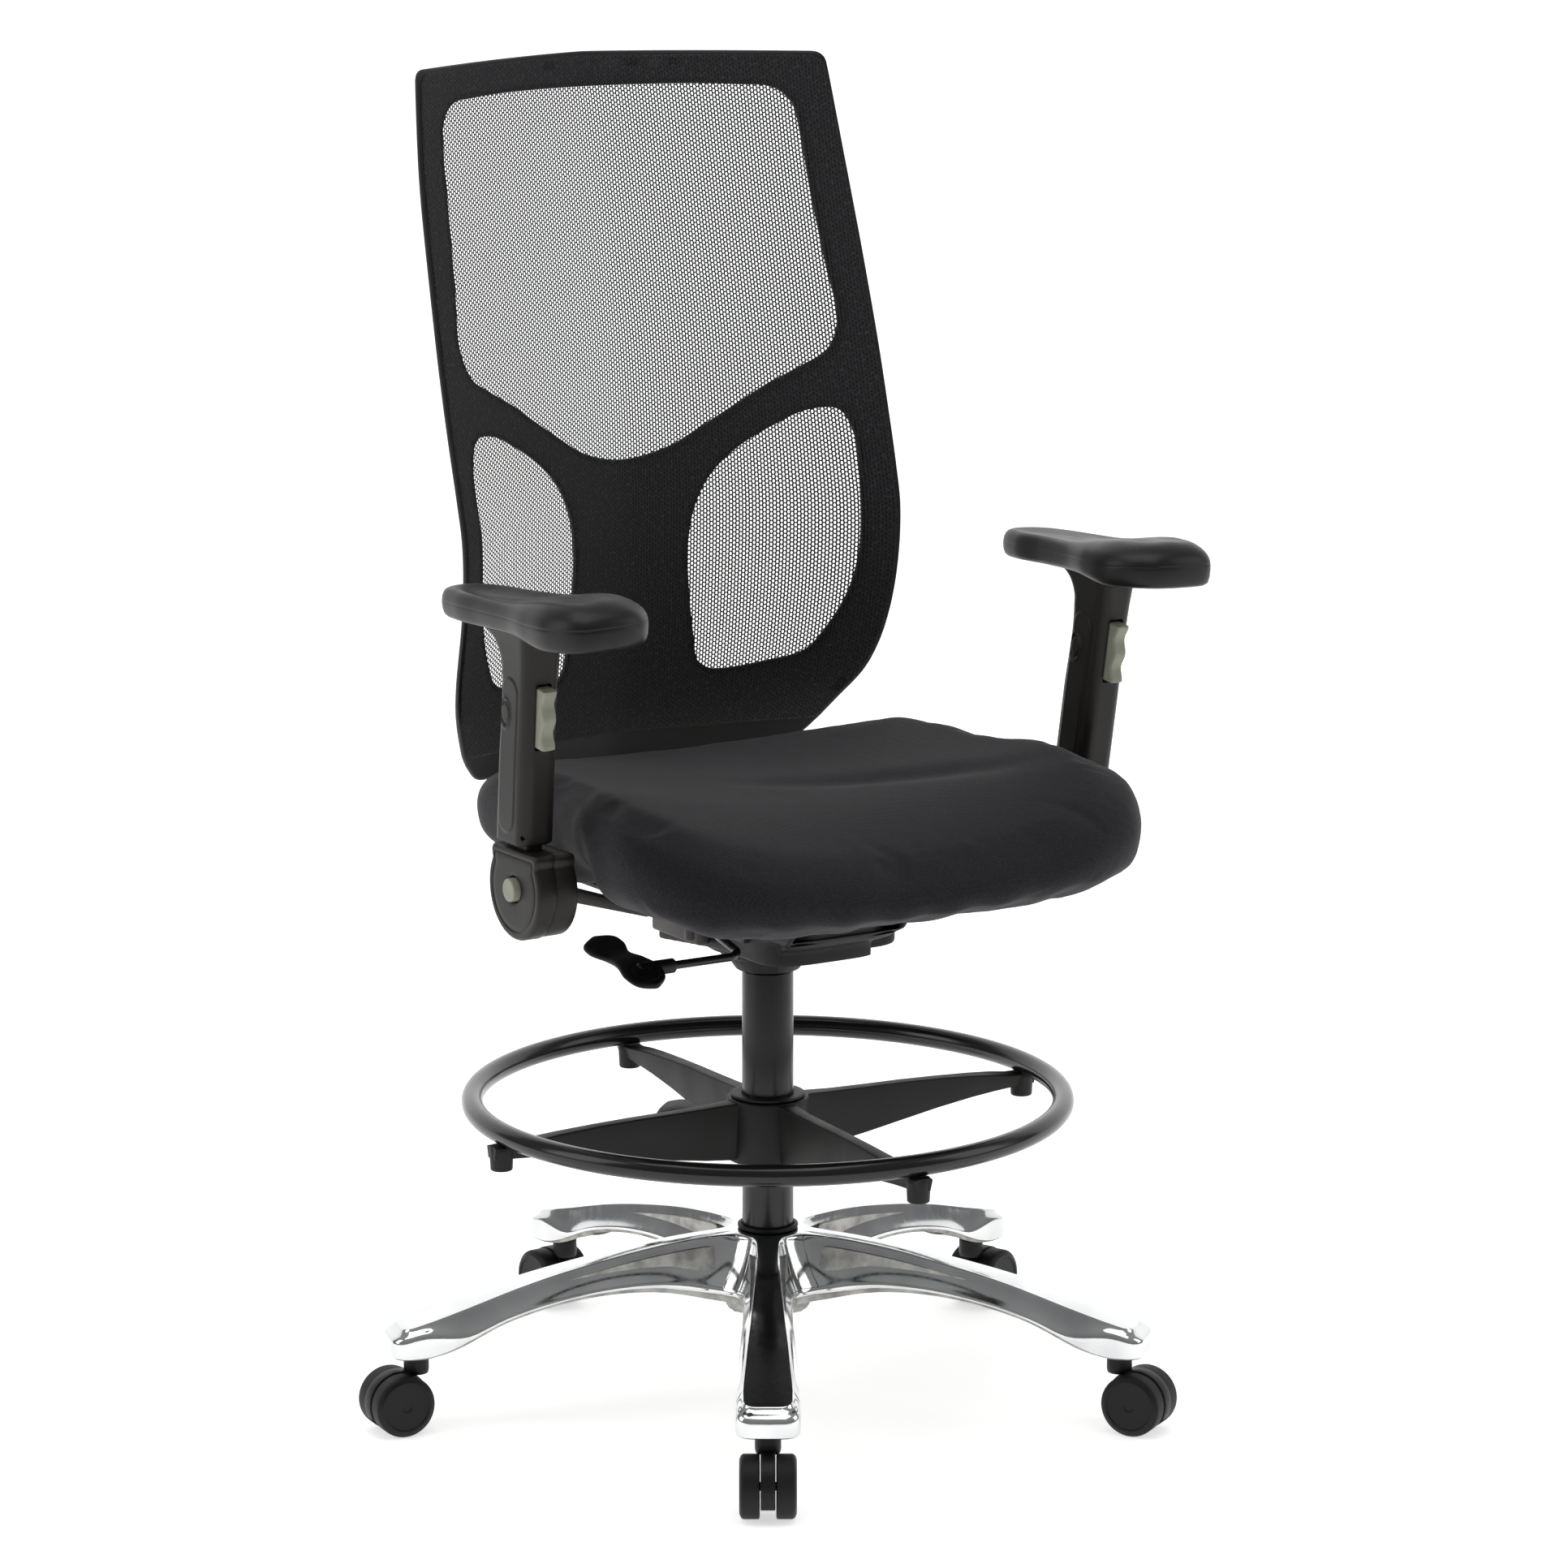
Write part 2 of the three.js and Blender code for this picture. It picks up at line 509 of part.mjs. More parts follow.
// ---- back ----
const BACK_WIDTH = [
  [590, 181], [600, 190], [610, 199.5], [640, 218], [670, 234], [700, 242], [730, 245.5], [760, 247], [820, 248.5],
  [880, 249.3], [940, 249.6], [1000, 249], [1060, 247], [1120, 244.4], [1180, 241], [1240, 236], [1291, 231],
];
const BACK_EDGE_Y = [
  [590, 248.5], [610, 234.5], [640, 212.5], [670, 189], [700, 173], [730, 161], [760, 152], [790, 146.5],
  [820, 144], [850, 145.5], [880, 152.5], [940, 169], [1000, 185.5], [1090, 210.5], [1180, 235.5], [1291, 260.5],
];
const BACK_MID_Y = [
  [590, 288], [650, 275], [700, 270], [750, 268], [930, 268], [1000, 275], [1100, 295], [1291, 340],
];

function backY(x, z) {
  const half = ramp(BACK_WIDTH, z);
  const edge = ramp(BACK_EDGE_Y, z);
  const middle = ramp(BACK_MID_Y, z);
  return edge + (middle - edge) * (1 - Math.min(1, Math.abs(x) / half) ** 1.6);
}

// A curved slab that follows the back surface, between two offsets behind it.
function backSlab(front, rear, rows = 14) {
  const shares = [-1.1, -1, -0.88, -0.7, -0.45, 0, 0.45, 0.7, 0.88, 1, 1.1];
  const points = [];
  for (const offset of [front, rear]) {
    for (let r = 0; r <= rows; r += 1) {
      const z = BACK.bottom - 14 + ((BACK.top - BACK.bottom + 28) * r) / rows;
      for (const share of shares) {
        const x = share * ramp(BACK_WIDTH, z);
        points.push(new THREE.Vector3(x, backY(x, z) + offset, z));
      }
    }
  }
  const columns = shares.length - 1;
  const wide = columns + 1;
  const layer = wide * (rows + 1);
  const at = (r, c) => r * wide + c;
  const index = [];
  for (let r = 0; r < rows; r += 1) {
    for (let c = 0; c < columns; c += 1) {
      const [a, b, d, e] = [at(r, c), at(r, c + 1), at(r + 1, c + 1), at(r + 1, c)];
      index.push(a, b, d, a, d, e);
      index.push(a + layer, d + layer, b + layer, a + layer, e + layer, d + layer);
    }
  }
  const wall = (a, b) => index.push(b, a, b + layer, a, a + layer, b + layer);
  for (let c = 0; c < columns; c += 1) {
    wall(at(0, c), at(0, c + 1));
    wall(at(rows, c + 1), at(rows, c));
  }
  for (let r = 0; r < rows; r += 1) {
    wall(at(r + 1, 0), at(r, 0));
    wall(at(r, columns), at(r + 1, columns));
  }
  const geometry = new THREE.BufferGeometry().setFromPoints(points);
  geometry.setIndex(index);
  return outward(geometry);
}

// A prism along Y from an outline of [x, z] points.
function prismY(points, depth = 500) {
  const shape = new THREE.Shape(points.map(([x, z]) => new THREE.Vector2(x, z)));
  const prism = new THREE.ExtrudeGeometry(shape, { depth, bevelEnabled: false });
  prism.rotateX(Math.PI / 2);
  return prism.translate(0, depth, 0);
}

function smoothOutline(points, count) {
  const places = points.map(([x, z]) => new THREE.Vector3(x, z, 0));
  const curve = new THREE.CatmullRomCurve3(places, true, "centripetal");
  return curve.getSpacedPoints(count).slice(0, count).map((p) => [p.x, p.y]);
}

function mirrored(half) {
  return [...half, ...half.slice().reverse().filter(([x]) => x > 0).map(([x, z]) => [-x, z])];
}

function backOutline(bottom, inset) {
  const right = [[0, bottom - 3], [150, bottom]];
  for (let z = bottom + 10; z <= 1240; z += 63) right.push([ramp(BACK_WIDTH, z) - inset, z]);
  right.push([233 - inset, 1262 - inset], [227 - inset, 1277 - inset], [211 - inset, 1285 - inset]);
  right.push([150, 1289 - inset], [0, 1291 - inset]);
  return mirrored(right);
}

const UPPER_WINDOW = mirrored([
  [0, 893], [50, 904], [85, 924], [116, 943], [146, 962], [180, 980], [204, 995], [216, 1022], [212, 1080],
  [207, 1150], [204, 1205], [199, 1236], [184, 1251], [150, 1255], [0, 1257],
]);
const LOWER_WINDOW = [
  [92, 676], [150, 683], [180, 693], [195, 715], [208, 746], [216, 786], [218, 850], [218, 915], [208, 936],
  [180, 936], [147, 921], [113, 900], [86, 873], [71, 842], [65, 805], [66, 768], [72, 715], [79, 684],
];

function backRest() {
  const upper = prismY(smoothOutline(UPPER_WINDOW, 32));
  const lower = smoothOutline(LOWER_WINDOW, 22);
  const right = prismY(lower);
  const left = prismY(lower.map(([x, z]) => [-x, z]).reverse());
  const blank = common(backSlab(GAP, BACK.frameDeep), prismY(backOutline(BACK.bottom, 0)));
  add("back_frame", cut(blank, upper, left, right), blackNylon);
  const cloth = common(backSlab(-BACK.meshThick, 0), prismY(backOutline(BACK.meshBottom, 5)));
  add("back_mesh", cloth, blackMesh);
  const bar = sideExtrusion([
    [56, 478], [86, 478], [250, 499], [300, 520], [318, 552], [318, 590], [309, 640], [301, 700], [299, 770],
    [291, 770], [293, 700], [301, 640], [310, 590], [308, 560], [294, 534], [246, 514], [86, 495], [56, 495],
  ], -38, 38);
  const bore = alongX(rod(TILT.pinR + GAP, -100, 100, 16)).translate(0, RECLINE.y, RECLINE.z);
  add("back_bar", cut(bar, bore), blackSteel);
}

// ---- arms ----
function knuckleOutline() {
  const points = [];
  for (let i = 0; i <= 14; i += 1) {
    const angle = (148 + (i * 244) / 14) * DEG;
    points.push([ARM.knuckleR * Math.cos(angle), ARM.knuckleR * Math.sin(angle)]);
  }
  points.push([44, 37.5], [-44, 37.5]);
  return points;
}

function armAssembly(side, label) {
  const outer = side * (ARM.pivotX + ARM.knuckleThick / 2);
  const inner = side * (ARM.pivotX - ARM.knuckleThick / 2);
  const split = inner + side * POST.innerShell;
  const span = (a, b) => [Math.min(a, b), Math.max(a, b)];
  const pivot = new THREE.Group();
  pivot.position.set(0, ARM.pivotY, ARM.pivotZ);
  chair.add(pivot);

  const pinFrom = inner - side * 8;
  const pinTo = outer - side * 11;
  const pinHole = alongX(rod(6 + GAP, ...span(inner - side * 20, pinTo + side * GAP), 16));
  const buttonHole = alongX(rod(11 + GAP, ...span(outer - side * 9, outer + side * 5), 20));
  const post = new THREE.Group();
  post.position.set(side * (ARM.pivotX + POST.out), POST.back, 0);
  post.rotation.set(ARM.lean * DEG, side * ARM.splay * DEG, 0);
  pivot.add(post);
  post.updateMatrix();

  const blade = loft([POST.bottom, POST.top].map((z) => roundedRing(0, 0, z, POST.wide, POST.deep, 4, 3)));
  add(`${label}_arm_post`, blade, blackSteel, post);
  const shellOuter = sideExtrusion(knuckleOutline(), ...span(split + side * GAP, outer));
  const shellInner = sideExtrusion(knuckleOutline(), ...span(inner, split));
  add(`${label}_arm_knuckle_outer`, cut(shellOuter, pinHole, buttonHole), blackNylon, pivot);
  add(`${label}_arm_knuckle_inner`, cut(shellInner, pinHole), blackNylon, pivot);
  add(`${label}_arm_pivot_pin`, alongX(rod(6, ...span(pinFrom, pinTo), 16)), zincSteel, pivot);
  const button = alongX(rod(11, ...span(outer - side * 5, outer + side * 6), 20));
  add(`${label}_flip_button`, button, greyPlastic, pivot);

  const bracketHole = alongX(rod(6 + GAP, ...span(side * 280, side * 304), 16));
  const disc = alongX(rod(30, ...span(inner - side * 8, inner - side * GAP), 24));
  const flat = SEAT.bottom - SEAT.panThick - GAP - ARM.pivotZ;
  const end = ARM.pivotX - ARM.knuckleThick / 2 - GAP;
  const bend = [[100, flat], [200, flat], [end, flat + 30], [end, flat + 18], [203, flat - 7], [100, flat - 7]];
  const bar = prismY(bend.map(([x, z]) => [side * x, z]), 52).translate(0, -26, 0);
  add(`${label}_arm_bracket`, cut(join(disc, bar), bracketHole), blackSteel, pivot);

  const heights = [[SLEEVE.bottom, 0, 0], [200, 0, 0], [222, 2, 10], [SLEEVE.top, 6, 30]];
  const skin = loft(heights.map(([z, wide, deep]) => (
    roundedRing(0, deep * 0.3, z, SLEEVE.wide + wide, SLEEVE.deep + deep, 15, 5))));
  const slot = loft([SLEEVE.bottom - 10, POST.top + 22].map((z) => (
    roundedRing(0, 0, z, POST.wide + 2 * GAP, POST.deep + 2 * GAP, 4, 3))));
  const reach = SLEEVE.deep / 2 + 10;
  const leverSlot = box(-SLEEVE.slotHalf, SLEEVE.slotHalf, -reach, -21, SLEEVE.slotLow, SLEEVE.slotHigh);
  add(`${label}_arm_sleeve`, cut(skin, slot, leverSlot), blackNylon, post);
  const low = SLEEVE.slotLow + 3;
  const high = SLEEVE.slotHigh - 3;
  const waves = [];
  for (let i = 0; i <= 12; i += 1) {
    waves.push([-SLEEVE.deep / 2 - 7 - 2 * Math.cos((i / 12) * 4 * Math.PI), low + ((high - low) * i) / 12]);
  }
  const heel = -SLEEVE.deep / 2 + 3;
  const leverHalf = SLEEVE.slotHalf - 0.5;
  const lever = sideExtrusion([...waves, [heel, high], [heel, low]], -leverHalf, leverHalf);
  add(`${label}_height_lever`, lever, greyPlastic, post);
  add(`${label}_arm_pad`, armPad(side), blackPolyurethane, post);
}

function armPad(side) {
  const half = PAD.length / 2;
  const outline = [
    [0, -half], [28, -half + 6], [43, -half + 38], [42, -half + 84], [34, -14], [30, 46], [27, 98], [16, half - 8],
    [0, half], [-18, half - 7], [-32, 102], [-36, 52], [-46, -8], [-60, -half + 90], [-62, -half + 42],
    [-38, -half + 7],
  ];
  const points = smoothOutline(outline.map(([x, y]) => [x * side, y]), 26);
  const rings = [[0.8, 0], [0.97, 4], [1, 11], [0.97, 19], [0.85, 25], [0.4, 27]];
  const pad = loft(rings.map(([scale, z]) => points.map(([x, y]) => (
    new THREE.Vector3(x * scale, (y * (half - (1 - scale) * 60)) / half, z)))));
  pad.rotateX(-(ARM.lean + PAD.rise) * DEG);
  return pad.translate(-side * POST.out, PAD.setBack, SLEEVE.top + PAD.lift);
}

casters();
add("star_base", starBase(), polishedAluminium);
column();
footRing();
mechanism();
tensionParts();
liftLever();
seat();
backRest();
armAssembly(1, "left");
armAssembly(-1, "right");

export default chair;
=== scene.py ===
# %% [markdown]
# # A drafting chair, dressed in Blender
# The chair's frame comes from its CAD model: every body, joint and size is already there. This lesson
# gives it its looks, piece by piece: a polished cast base, twin-wheel casters, a powder-coated column and
# foot ring, a moulded tilt housing, a stuffed knit seat, a stretched mesh back and two flip-up arms.
# The loading lines come first, because each new piece rides on a body of that frame.

# %% Load the frame
import math

import bmesh
import bpy
import numpy as np
from mathutils import Matrix, Vector, geometry


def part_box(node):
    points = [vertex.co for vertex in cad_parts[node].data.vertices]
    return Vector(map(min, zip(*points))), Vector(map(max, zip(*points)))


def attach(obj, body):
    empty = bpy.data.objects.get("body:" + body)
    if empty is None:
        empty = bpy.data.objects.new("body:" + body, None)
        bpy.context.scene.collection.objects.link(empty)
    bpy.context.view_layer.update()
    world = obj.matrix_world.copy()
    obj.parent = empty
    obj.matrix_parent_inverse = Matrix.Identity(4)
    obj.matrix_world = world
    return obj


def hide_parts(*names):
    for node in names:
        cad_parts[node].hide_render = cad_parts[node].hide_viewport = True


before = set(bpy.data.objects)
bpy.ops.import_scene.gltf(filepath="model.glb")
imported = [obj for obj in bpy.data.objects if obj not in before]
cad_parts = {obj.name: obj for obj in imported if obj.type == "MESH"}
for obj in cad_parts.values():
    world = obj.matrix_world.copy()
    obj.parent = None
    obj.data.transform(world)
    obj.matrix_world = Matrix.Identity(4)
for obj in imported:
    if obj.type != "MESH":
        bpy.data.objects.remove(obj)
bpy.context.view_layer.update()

# %% [markdown]
# The chair is drawn in millimetres around its own column, as a chair maker would: X to the sitter's left,
# Y to the back, Z up from the floor. One function moves those numbers into the frame, in metres, so no
# other line has to convert anything.

# %% The chair's own coordinates
MM = 0.001
tube_low, tube_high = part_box("column_tube")
AXIS = np.array([(tube_low.x + tube_high.x) / 2, (tube_low.y + tube_high.y) / 2, 0])
print("column axis at", AXIS.round(4))


def to_frame(points):
    return np.asarray(points, float) * MM + AXIS


# %% [markdown]
# Most pieces are skins over rings of points. The helpers below build one mesh from arrays of points and
# faces, merge what touches, turn all faces outwards, and shade it smooth with crisp edges above an angle.
# Rounded corners are made in the outlines and profiles themselves, because real mouldings and castings
# have no knife edges, and a small radius is what catches the light.

# %% Helpers for meshes
def smooth_shading(mesh, angle=32):
    mesh.polygons.foreach_set("use_smooth", [True] * len(mesh.polygons))
    mesh.set_sharp_from_angle(angle=math.radians(angle))


def piece(name, points, faces, *materials, looks=None, angle=32, weld=0.02, bridge=False):
    """A new object from points in chair millimetres. weld is how close points are merged, in mm, looks
    gives each face's material number where there is more than one, and bridge closes a bore."""
    mesh = bpy.data.meshes.new(name)
    mesh.from_pydata(to_frame(points).tolist(), [], [list(map(int, f)) for f in faces])
    for material in materials:
        mesh.materials.append(material)
    if looks is not None:
        mesh.polygons.foreach_set("material_index", [int(look) for look in looks])
    shape = bmesh.new()
    shape.from_mesh(mesh)
    bmesh.ops.remove_doubles(shape, verts=shape.verts, dist=weld * MM)
    bmesh.ops.dissolve_degenerate(shape, edges=shape.edges, dist=weld * MM / 2)
    if bridge:
        bmesh.ops.bridge_loops(shape, edges=[e for e in shape.edges if e.is_boundary])
    bmesh.ops.recalc_face_normals(shape, faces=shape.faces)
    shape.to_mesh(mesh)
    shape.free()
    smooth_shading(mesh, angle)
    obj = bpy.data.objects.new(name, mesh)
    bpy.context.scene.collection.objects.link(obj)
    return obj


def seat_on(obj, body, slot, *nodes):
    """Rides obj on a body and lets it stand for its CAD nodes. The slot argument is not used."""
    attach(obj, body)
    if nodes:
        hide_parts(*nodes)
    print(f"{obj.name}: {len(obj.data.polygons)} faces on {body}")
    return obj


def grid_faces(rows, columns, start=0, wrap=True):
    """Quads of a grid of points stored row by row. wrap joins the last column to the first."""
    row = np.arange(rows - 1)[:, None] * columns
    column = np.arange(columns if wrap else columns - 1)[None, :]
    after = (column + 1) % columns
    quads = np.stack(
        [row + column, row + after, row + columns + after, row + columns + column], -1
    )
    return (quads.reshape(-1, 4) + start).tolist()


def skin(rings, caps=True):
    """Points and faces of a closed skin through rings of equal length."""
    rings = np.asarray(rings, float)
    count, around = rings.shape[:2]
    points = rings.reshape(-1, 3)
    faces = grid_faces(count, around)
    if caps:
        faces.append(list(range(around))[::-1])
        faces.append(list(range((count - 1) * around, count * around)))
    return points, faces


def together(*parts):
    """Joins several (points, faces) pairs into one."""
    points, faces, start = [], [], 0
    for some_points, some_faces in parts:
        points.append(np.asarray(some_points, float))
        faces += [[i + start for i in face] for face in some_faces]
        start += len(some_points)
    return np.concatenate(points), faces


def moved(part, matrix):
    points, faces = part
    points = np.asarray(points, float)
    turned = points @ np.array(matrix.to_3x3()).T + np.array(matrix.translation)
    return turned, faces


# %% Helpers for outlines and profiles
def rounded(points, radius, closed=False, steps=4):
    """The polyline with its corners turned into arcs. radius is one number, or one for each point."""
    corners = [np.array(p, float) for p in points]
    count = len(corners)
    radii = [radius] * count if np.isscalar(radius) else radius
    line = []
    for i, corner in enumerate(corners):
        back, ahead = corners[i - 1] - corner, corners[(i + 1) % count] - corner
        end_point = not closed and i in (0, count - 1)
        if end_point or radii[i] <= 0:
            line.append(corner)
            continue
        back_length, ahead_length = np.linalg.norm(back), np.linalg.norm(ahead)
        back, ahead = back / back_length, ahead / ahead_length
        half = math.acos(float(np.clip(back @ ahead, -1, 1))) / 2
        if half > 1.54:
            line.append(corner)
            continue
        reach = min(radii[i] / math.tan(half), 0.49 * back_length, 0.49 * ahead_length)
        bisector = (back + ahead) / np.linalg.norm(back + ahead)
        centre = corner + bisector * reach / math.cos(half)
        first, last = corner + back * reach - centre, corner + ahead * reach - centre
        sweep = math.pi - 2 * half
        for k in range(steps + 1):
            share = k / steps
            first_part = math.sin((1 - share) * sweep) * first
            line.append(centre + (first_part + math.sin(share * sweep) * last) / math.sin(sweep))
    return np.array(line)


def along(table, at):
    """A smooth curve through [position, value] pairs, with flat ends and no overshoot to speak of."""
    position, value = np.array(table, float).T
    slope = np.gradient(value, position)
    at = np.clip(np.asarray(at, float), position[0], position[-1])
    i = np.clip(np.searchsorted(position, at) - 1, 0, len(position) - 2)
    width = position[i + 1] - position[i]
    t = (at - position[i]) / width
    return (
        value[i] * (2 * t**3 - 3 * t**2 + 1)
        + value[i + 1] * (3 * t**2 - 2 * t**3)
        + slope[i] * width * (t**3 - 2 * t**2 + t)
        + slope[i + 1] * width * (t**3 - t**2)
    )


def spaced(line, count, closed=False):
    """count points at even steps along a polyline."""
    line = np.asarray(line, float)
    if closed:
        line = np.concatenate([line, line[:1]])
    run = np.concatenate([[0], np.cumsum(np.linalg.norm(np.diff(line, axis=0), axis=1))])
    at = np.linspace(0, run[-1], count + 1)[:-1] if closed else np.linspace(0, run[-1], count)
    return np.stack([np.interp(at, run, line[:, k]) for k in range(line.shape[1])], 1)


def flowing(points, count, closed=False):
    """count even points on a smooth curve through a few points."""
    points = np.asarray(points, float)
    if closed:
        points = np.concatenate([points[-2:], points, points[:3]])
    run = np.concatenate([[0], np.cumsum(np.linalg.norm(np.diff(points, axis=0), axis=1) ** 0.6)])
    fine = np.linspace(run[2], run[-3], 800) if closed else np.linspace(0, run[-1], 800)
    line = np.stack([along(np.stack([run, points[:, k]], 1), fine) for k in range(points.shape[1])], 1)
    if closed:
        return spaced(line[:-1], count, True)
    return spaced(line, count)


def step_up(value, low, high):
    """0 below low, 1 above high, and a smooth rise between them."""
    t = np.clip((np.asarray(value, float) - low) / (high - low), 0, 1)
    return t * t * (3 - 2 * t)


def counter_clockwise(outline):
    outline = np.asarray(outline, float)
    after = np.roll(outline, -1, 0)
    area = (outline[:, 0] * after[:, 1] - after[:, 0] * outline[:, 1]).sum()
    return outline if area > 0 else outline[::-1]


def inset(outline, distance):
    """A closed counter-clockwise 2D outline moved inwards, corner by corner."""
    outline = np.asarray(outline, float)
    edge = np.roll(outline, -1, 0) - outline
    edge /= np.linalg.norm(edge, axis=1)[:, None]
    normal = np.stack([-edge[:, 1], edge[:, 0]], 1)
    before = np.roll(normal, 1, 0)
    middle = normal + before
    middle /= np.maximum(np.linalg.norm(middle, axis=1), 1e-9)[:, None]
    stretch = 1 / np.maximum((middle * normal).sum(1), 0.5)
    return outline + middle * (distance * stretch)[:, None]


def plate(outline, low, high, edge=1.0, steps=3):
    """A slab over a 2D outline from height low to high, its top and bottom edges rounded."""
    outline = counter_clockwise(outline)
    rings = []
    for k in range(steps + 1):
        angle = k / steps * math.pi / 2
        ring = inset(outline, edge * (1 - math.sin(angle)))
        rings.append((ring, low + edge * (1 - math.cos(angle))))
    for k in range(steps, -1, -1):
        angle = k / steps * math.pi / 2
        ring = inset(outline, edge * (1 - math.sin(angle)))
        rings.append((ring, high - edge * (1 - math.cos(angle))))
    return skin([np.column_stack([ring, np.full(len(ring), z)]) for ring, z in rings])


def lathe(profile, segments=64):
    """A solid turned about Z from a profile of [radius, height] points that starts and ends on the axis,
    or closes on itself."""
    angle = np.arange(segments) / segments * 2 * math.pi
    rings = []
    for radius, height in profile:
        rings.append(
            np.stack([radius * np.cos(angle), radius * np.sin(angle), np.full(segments, height)], 1)
        )
    closed = np.allclose(profile[0], profile[-1]) or (profile[0][0] < 1e-6 and profile[-1][0] < 1e-6)
    return skin(rings, caps=not closed)


def ring_profile(inner, outer, low, high, edge=0.6):
    """A closed rectangular profile with rounded corners, for bushes, collars and rings."""
    corners = rounded([[inner, low], [outer, low], [outer, high], [inner, high]], edge, True, 3)
    return np.concatenate([corners, corners[:1]])


def rod(path, radius, around=24):
    """A round bar along a 3D path, with softly domed ends."""
    path = np.asarray(path, float)
    tangent = np.gradient(path, axis=0)
    tangent /= np.linalg.norm(tangent, axis=1)[:, None]
    side = np.cross(tangent[0], [0, 0, 1.0])
    if np.linalg.norm(side) < 0.1:
        side = np.cross(tangent[0], [0, 1.0, 0])
    angle = np.arange(around) / around * 2 * math.pi
    rings = []
    stops = [(0, -0.9, 0.45), (0, -0.5, 0.86), *[(i, 0, 1) for i in range(len(path))]]
    stops += [(len(path) - 1, 0.5, 0.86), (len(path) - 1, 0.9, 0.45)]
    for i, beyond, share in stops:
        side = side - tangent[i] * (side @ tangent[i])
        side /= np.linalg.norm(side)
        up = np.cross(side, tangent[i])
        centre = path[i] + tangent[i] * beyond * radius * 0.35
        circle = np.outer(np.cos(angle), side) + np.outer(np.sin(angle), up)
        rings.append(centre + circle * radius * share)
    return skin(rings)


ALONG_X = Matrix.Rotation(math.pi / 2, 4, "Y")


def shift(x=0, y=0, z=0):
    return Matrix.Translation((x, y, z))


def turn(degrees, axis="Z"):
    return Matrix.Rotation(math.radians(degrees), 4, axis)


def carved(obj, *tools, operation="DIFFERENCE"):
    """Cuts the tools out of obj for good, or joins them on, and removes them."""
    for tool in tools:
        change = obj.modifiers.new("carve", "BOOLEAN")
        change.operation = operation
        change.object = tool
        change.solver = "EXACT"
    return made_plain(obj, *tools)


def made_plain(obj, *helpers):
    """Turns an object with modifiers into a plain mesh, and removes its helper objects."""
    bpy.context.view_layer.update()
    result = bpy.data.meshes.new_from_object(obj.evaluated_get(bpy.context.evaluated_depsgraph_get()))
    obj.modifiers.clear()
    old, obj.data = obj.data, result
    bpy.data.meshes.remove(old)
    for helper in helpers:
        bpy.data.objects.remove(helper)
    return obj


def bevelled(obj, width, angle=40, segments=3):
    """Rounds every edge sharper than angle by width millimetres."""
    change = obj.modifiers.new("bevel", "BEVEL")
    change.width = width * MM
    change.segments = segments
    change.limit_method = "ANGLE"
    change.angle_limit = math.radians(angle)
    change.use_clamp_overlap = True
    change.harden_normals = False
    made_plain(obj)
    smooth_shading(obj.data, 40)
    return obj


# %% [markdown]
# ## Camera, floor and light
# The chair stands on a plain white floor that rises behind it without a corner, like a photographer's
# paper roll. The camera looks at it from the front, to the sitter's right, a little above the seat, with a
# long lens. The light is a big soft box on each side and one overhead. The polished base shows whatever
# surrounds it, so the surroundings are bright above and at the sides and darker behind the camera.

# %% Camera
HEADING = math.radians(32) + 0.0029
PITCH = 0.2029
lens = bpy.data.cameras.new("camera")
lens.lens = 132.2
lens.sensor_width = 36
lens.clip_end = 60
camera = bpy.data.objects.new("camera", lens)
camera.location = (-2.8699, -4.6291, 1.7282)
camera.rotation_euler = (math.radians(90) - PITCH, 0, -HEADING)
bpy.context.scene.collection.objects.link(camera)
bpy.context.scene.camera = camera
bpy.context.scene.view_settings.view_transform = "Standard"
print("camera", [round(v, 3) for v in camera.location])


# %% Small helper for nodes
def add_node(tree, kind, inputs=None, **settings):
    """Adds a node, sets its settings, and fills or links its inputs by name or number."""
    made = tree.nodes.new(kind)
    for name, value in settings.items():
        setattr(made, name, value)
    for name, value in (inputs or {}).items():
        if isinstance(value, bpy.types.NodeSocket):
            tree.links.new(value, made.inputs[name])
        else:
            made.inputs[name].default_value = value
    return made


def linear(colour):
    """An sRGB hex colour as the linear values that shaders use."""
    parts = [int(colour[i : i + 2], 16) / 255 for i in (1, 3, 5)]
    return tuple(c / 12.92 if c <= 0.04045 else ((c + 0.055) / 1.055) ** 2.4 for c in parts) + (1.0,)


# %% Floor
def studio_floor():
    """A floor that curves up into a wall far behind the chair."""
    width, near, far, bend, height = 9.0, -8.0, 3.2, 1.6, 6.0
    profile = [(near, 0.0)]
    for k in range(17):
        angle = k / 16 * math.pi / 2
        profile.append((far + bend * math.sin(angle), bend * (1 - math.cos(angle))))
    profile.append((far + bend, height))
    heading = Matrix.Rotation(-HEADING, 4, "Z")
    points = [heading @ Vector((x, y, z)) for y, z in profile for x in (-width, width)]
    mesh = bpy.data.meshes.new("floor")
    faces = [(2 * i, 2 * i + 1, 2 * i + 3, 2 * i + 2) for i in range(len(profile) - 1)]
    mesh.from_pydata([p[:] for p in points], [], faces)
    mesh.polygons.foreach_set("use_smooth", [True] * len(faces))
    paper = bpy.data.materials.new("white_paper_roll")
    paper.use_nodes = True
    shader = paper.node_tree.nodes["Principled BSDF"]
    shader.inputs["Base Color"].default_value = linear("#F7F7F6")
    shader.inputs["Roughness"].default_value = 0.9
    shader.inputs["Specular IOR Level"].default_value = 0.1
    shader.inputs["Emission Color"].default_value = (1, 1, 1, 1)
    shader.inputs["Emission Strength"].default_value = 0.6
    mesh.materials.append(paper)
    floor = bpy.data.objects.new("floor", mesh)
    bpy.context.scene.collection.objects.link(floor)
    print("floor", len(faces), "faces")


studio_floor()


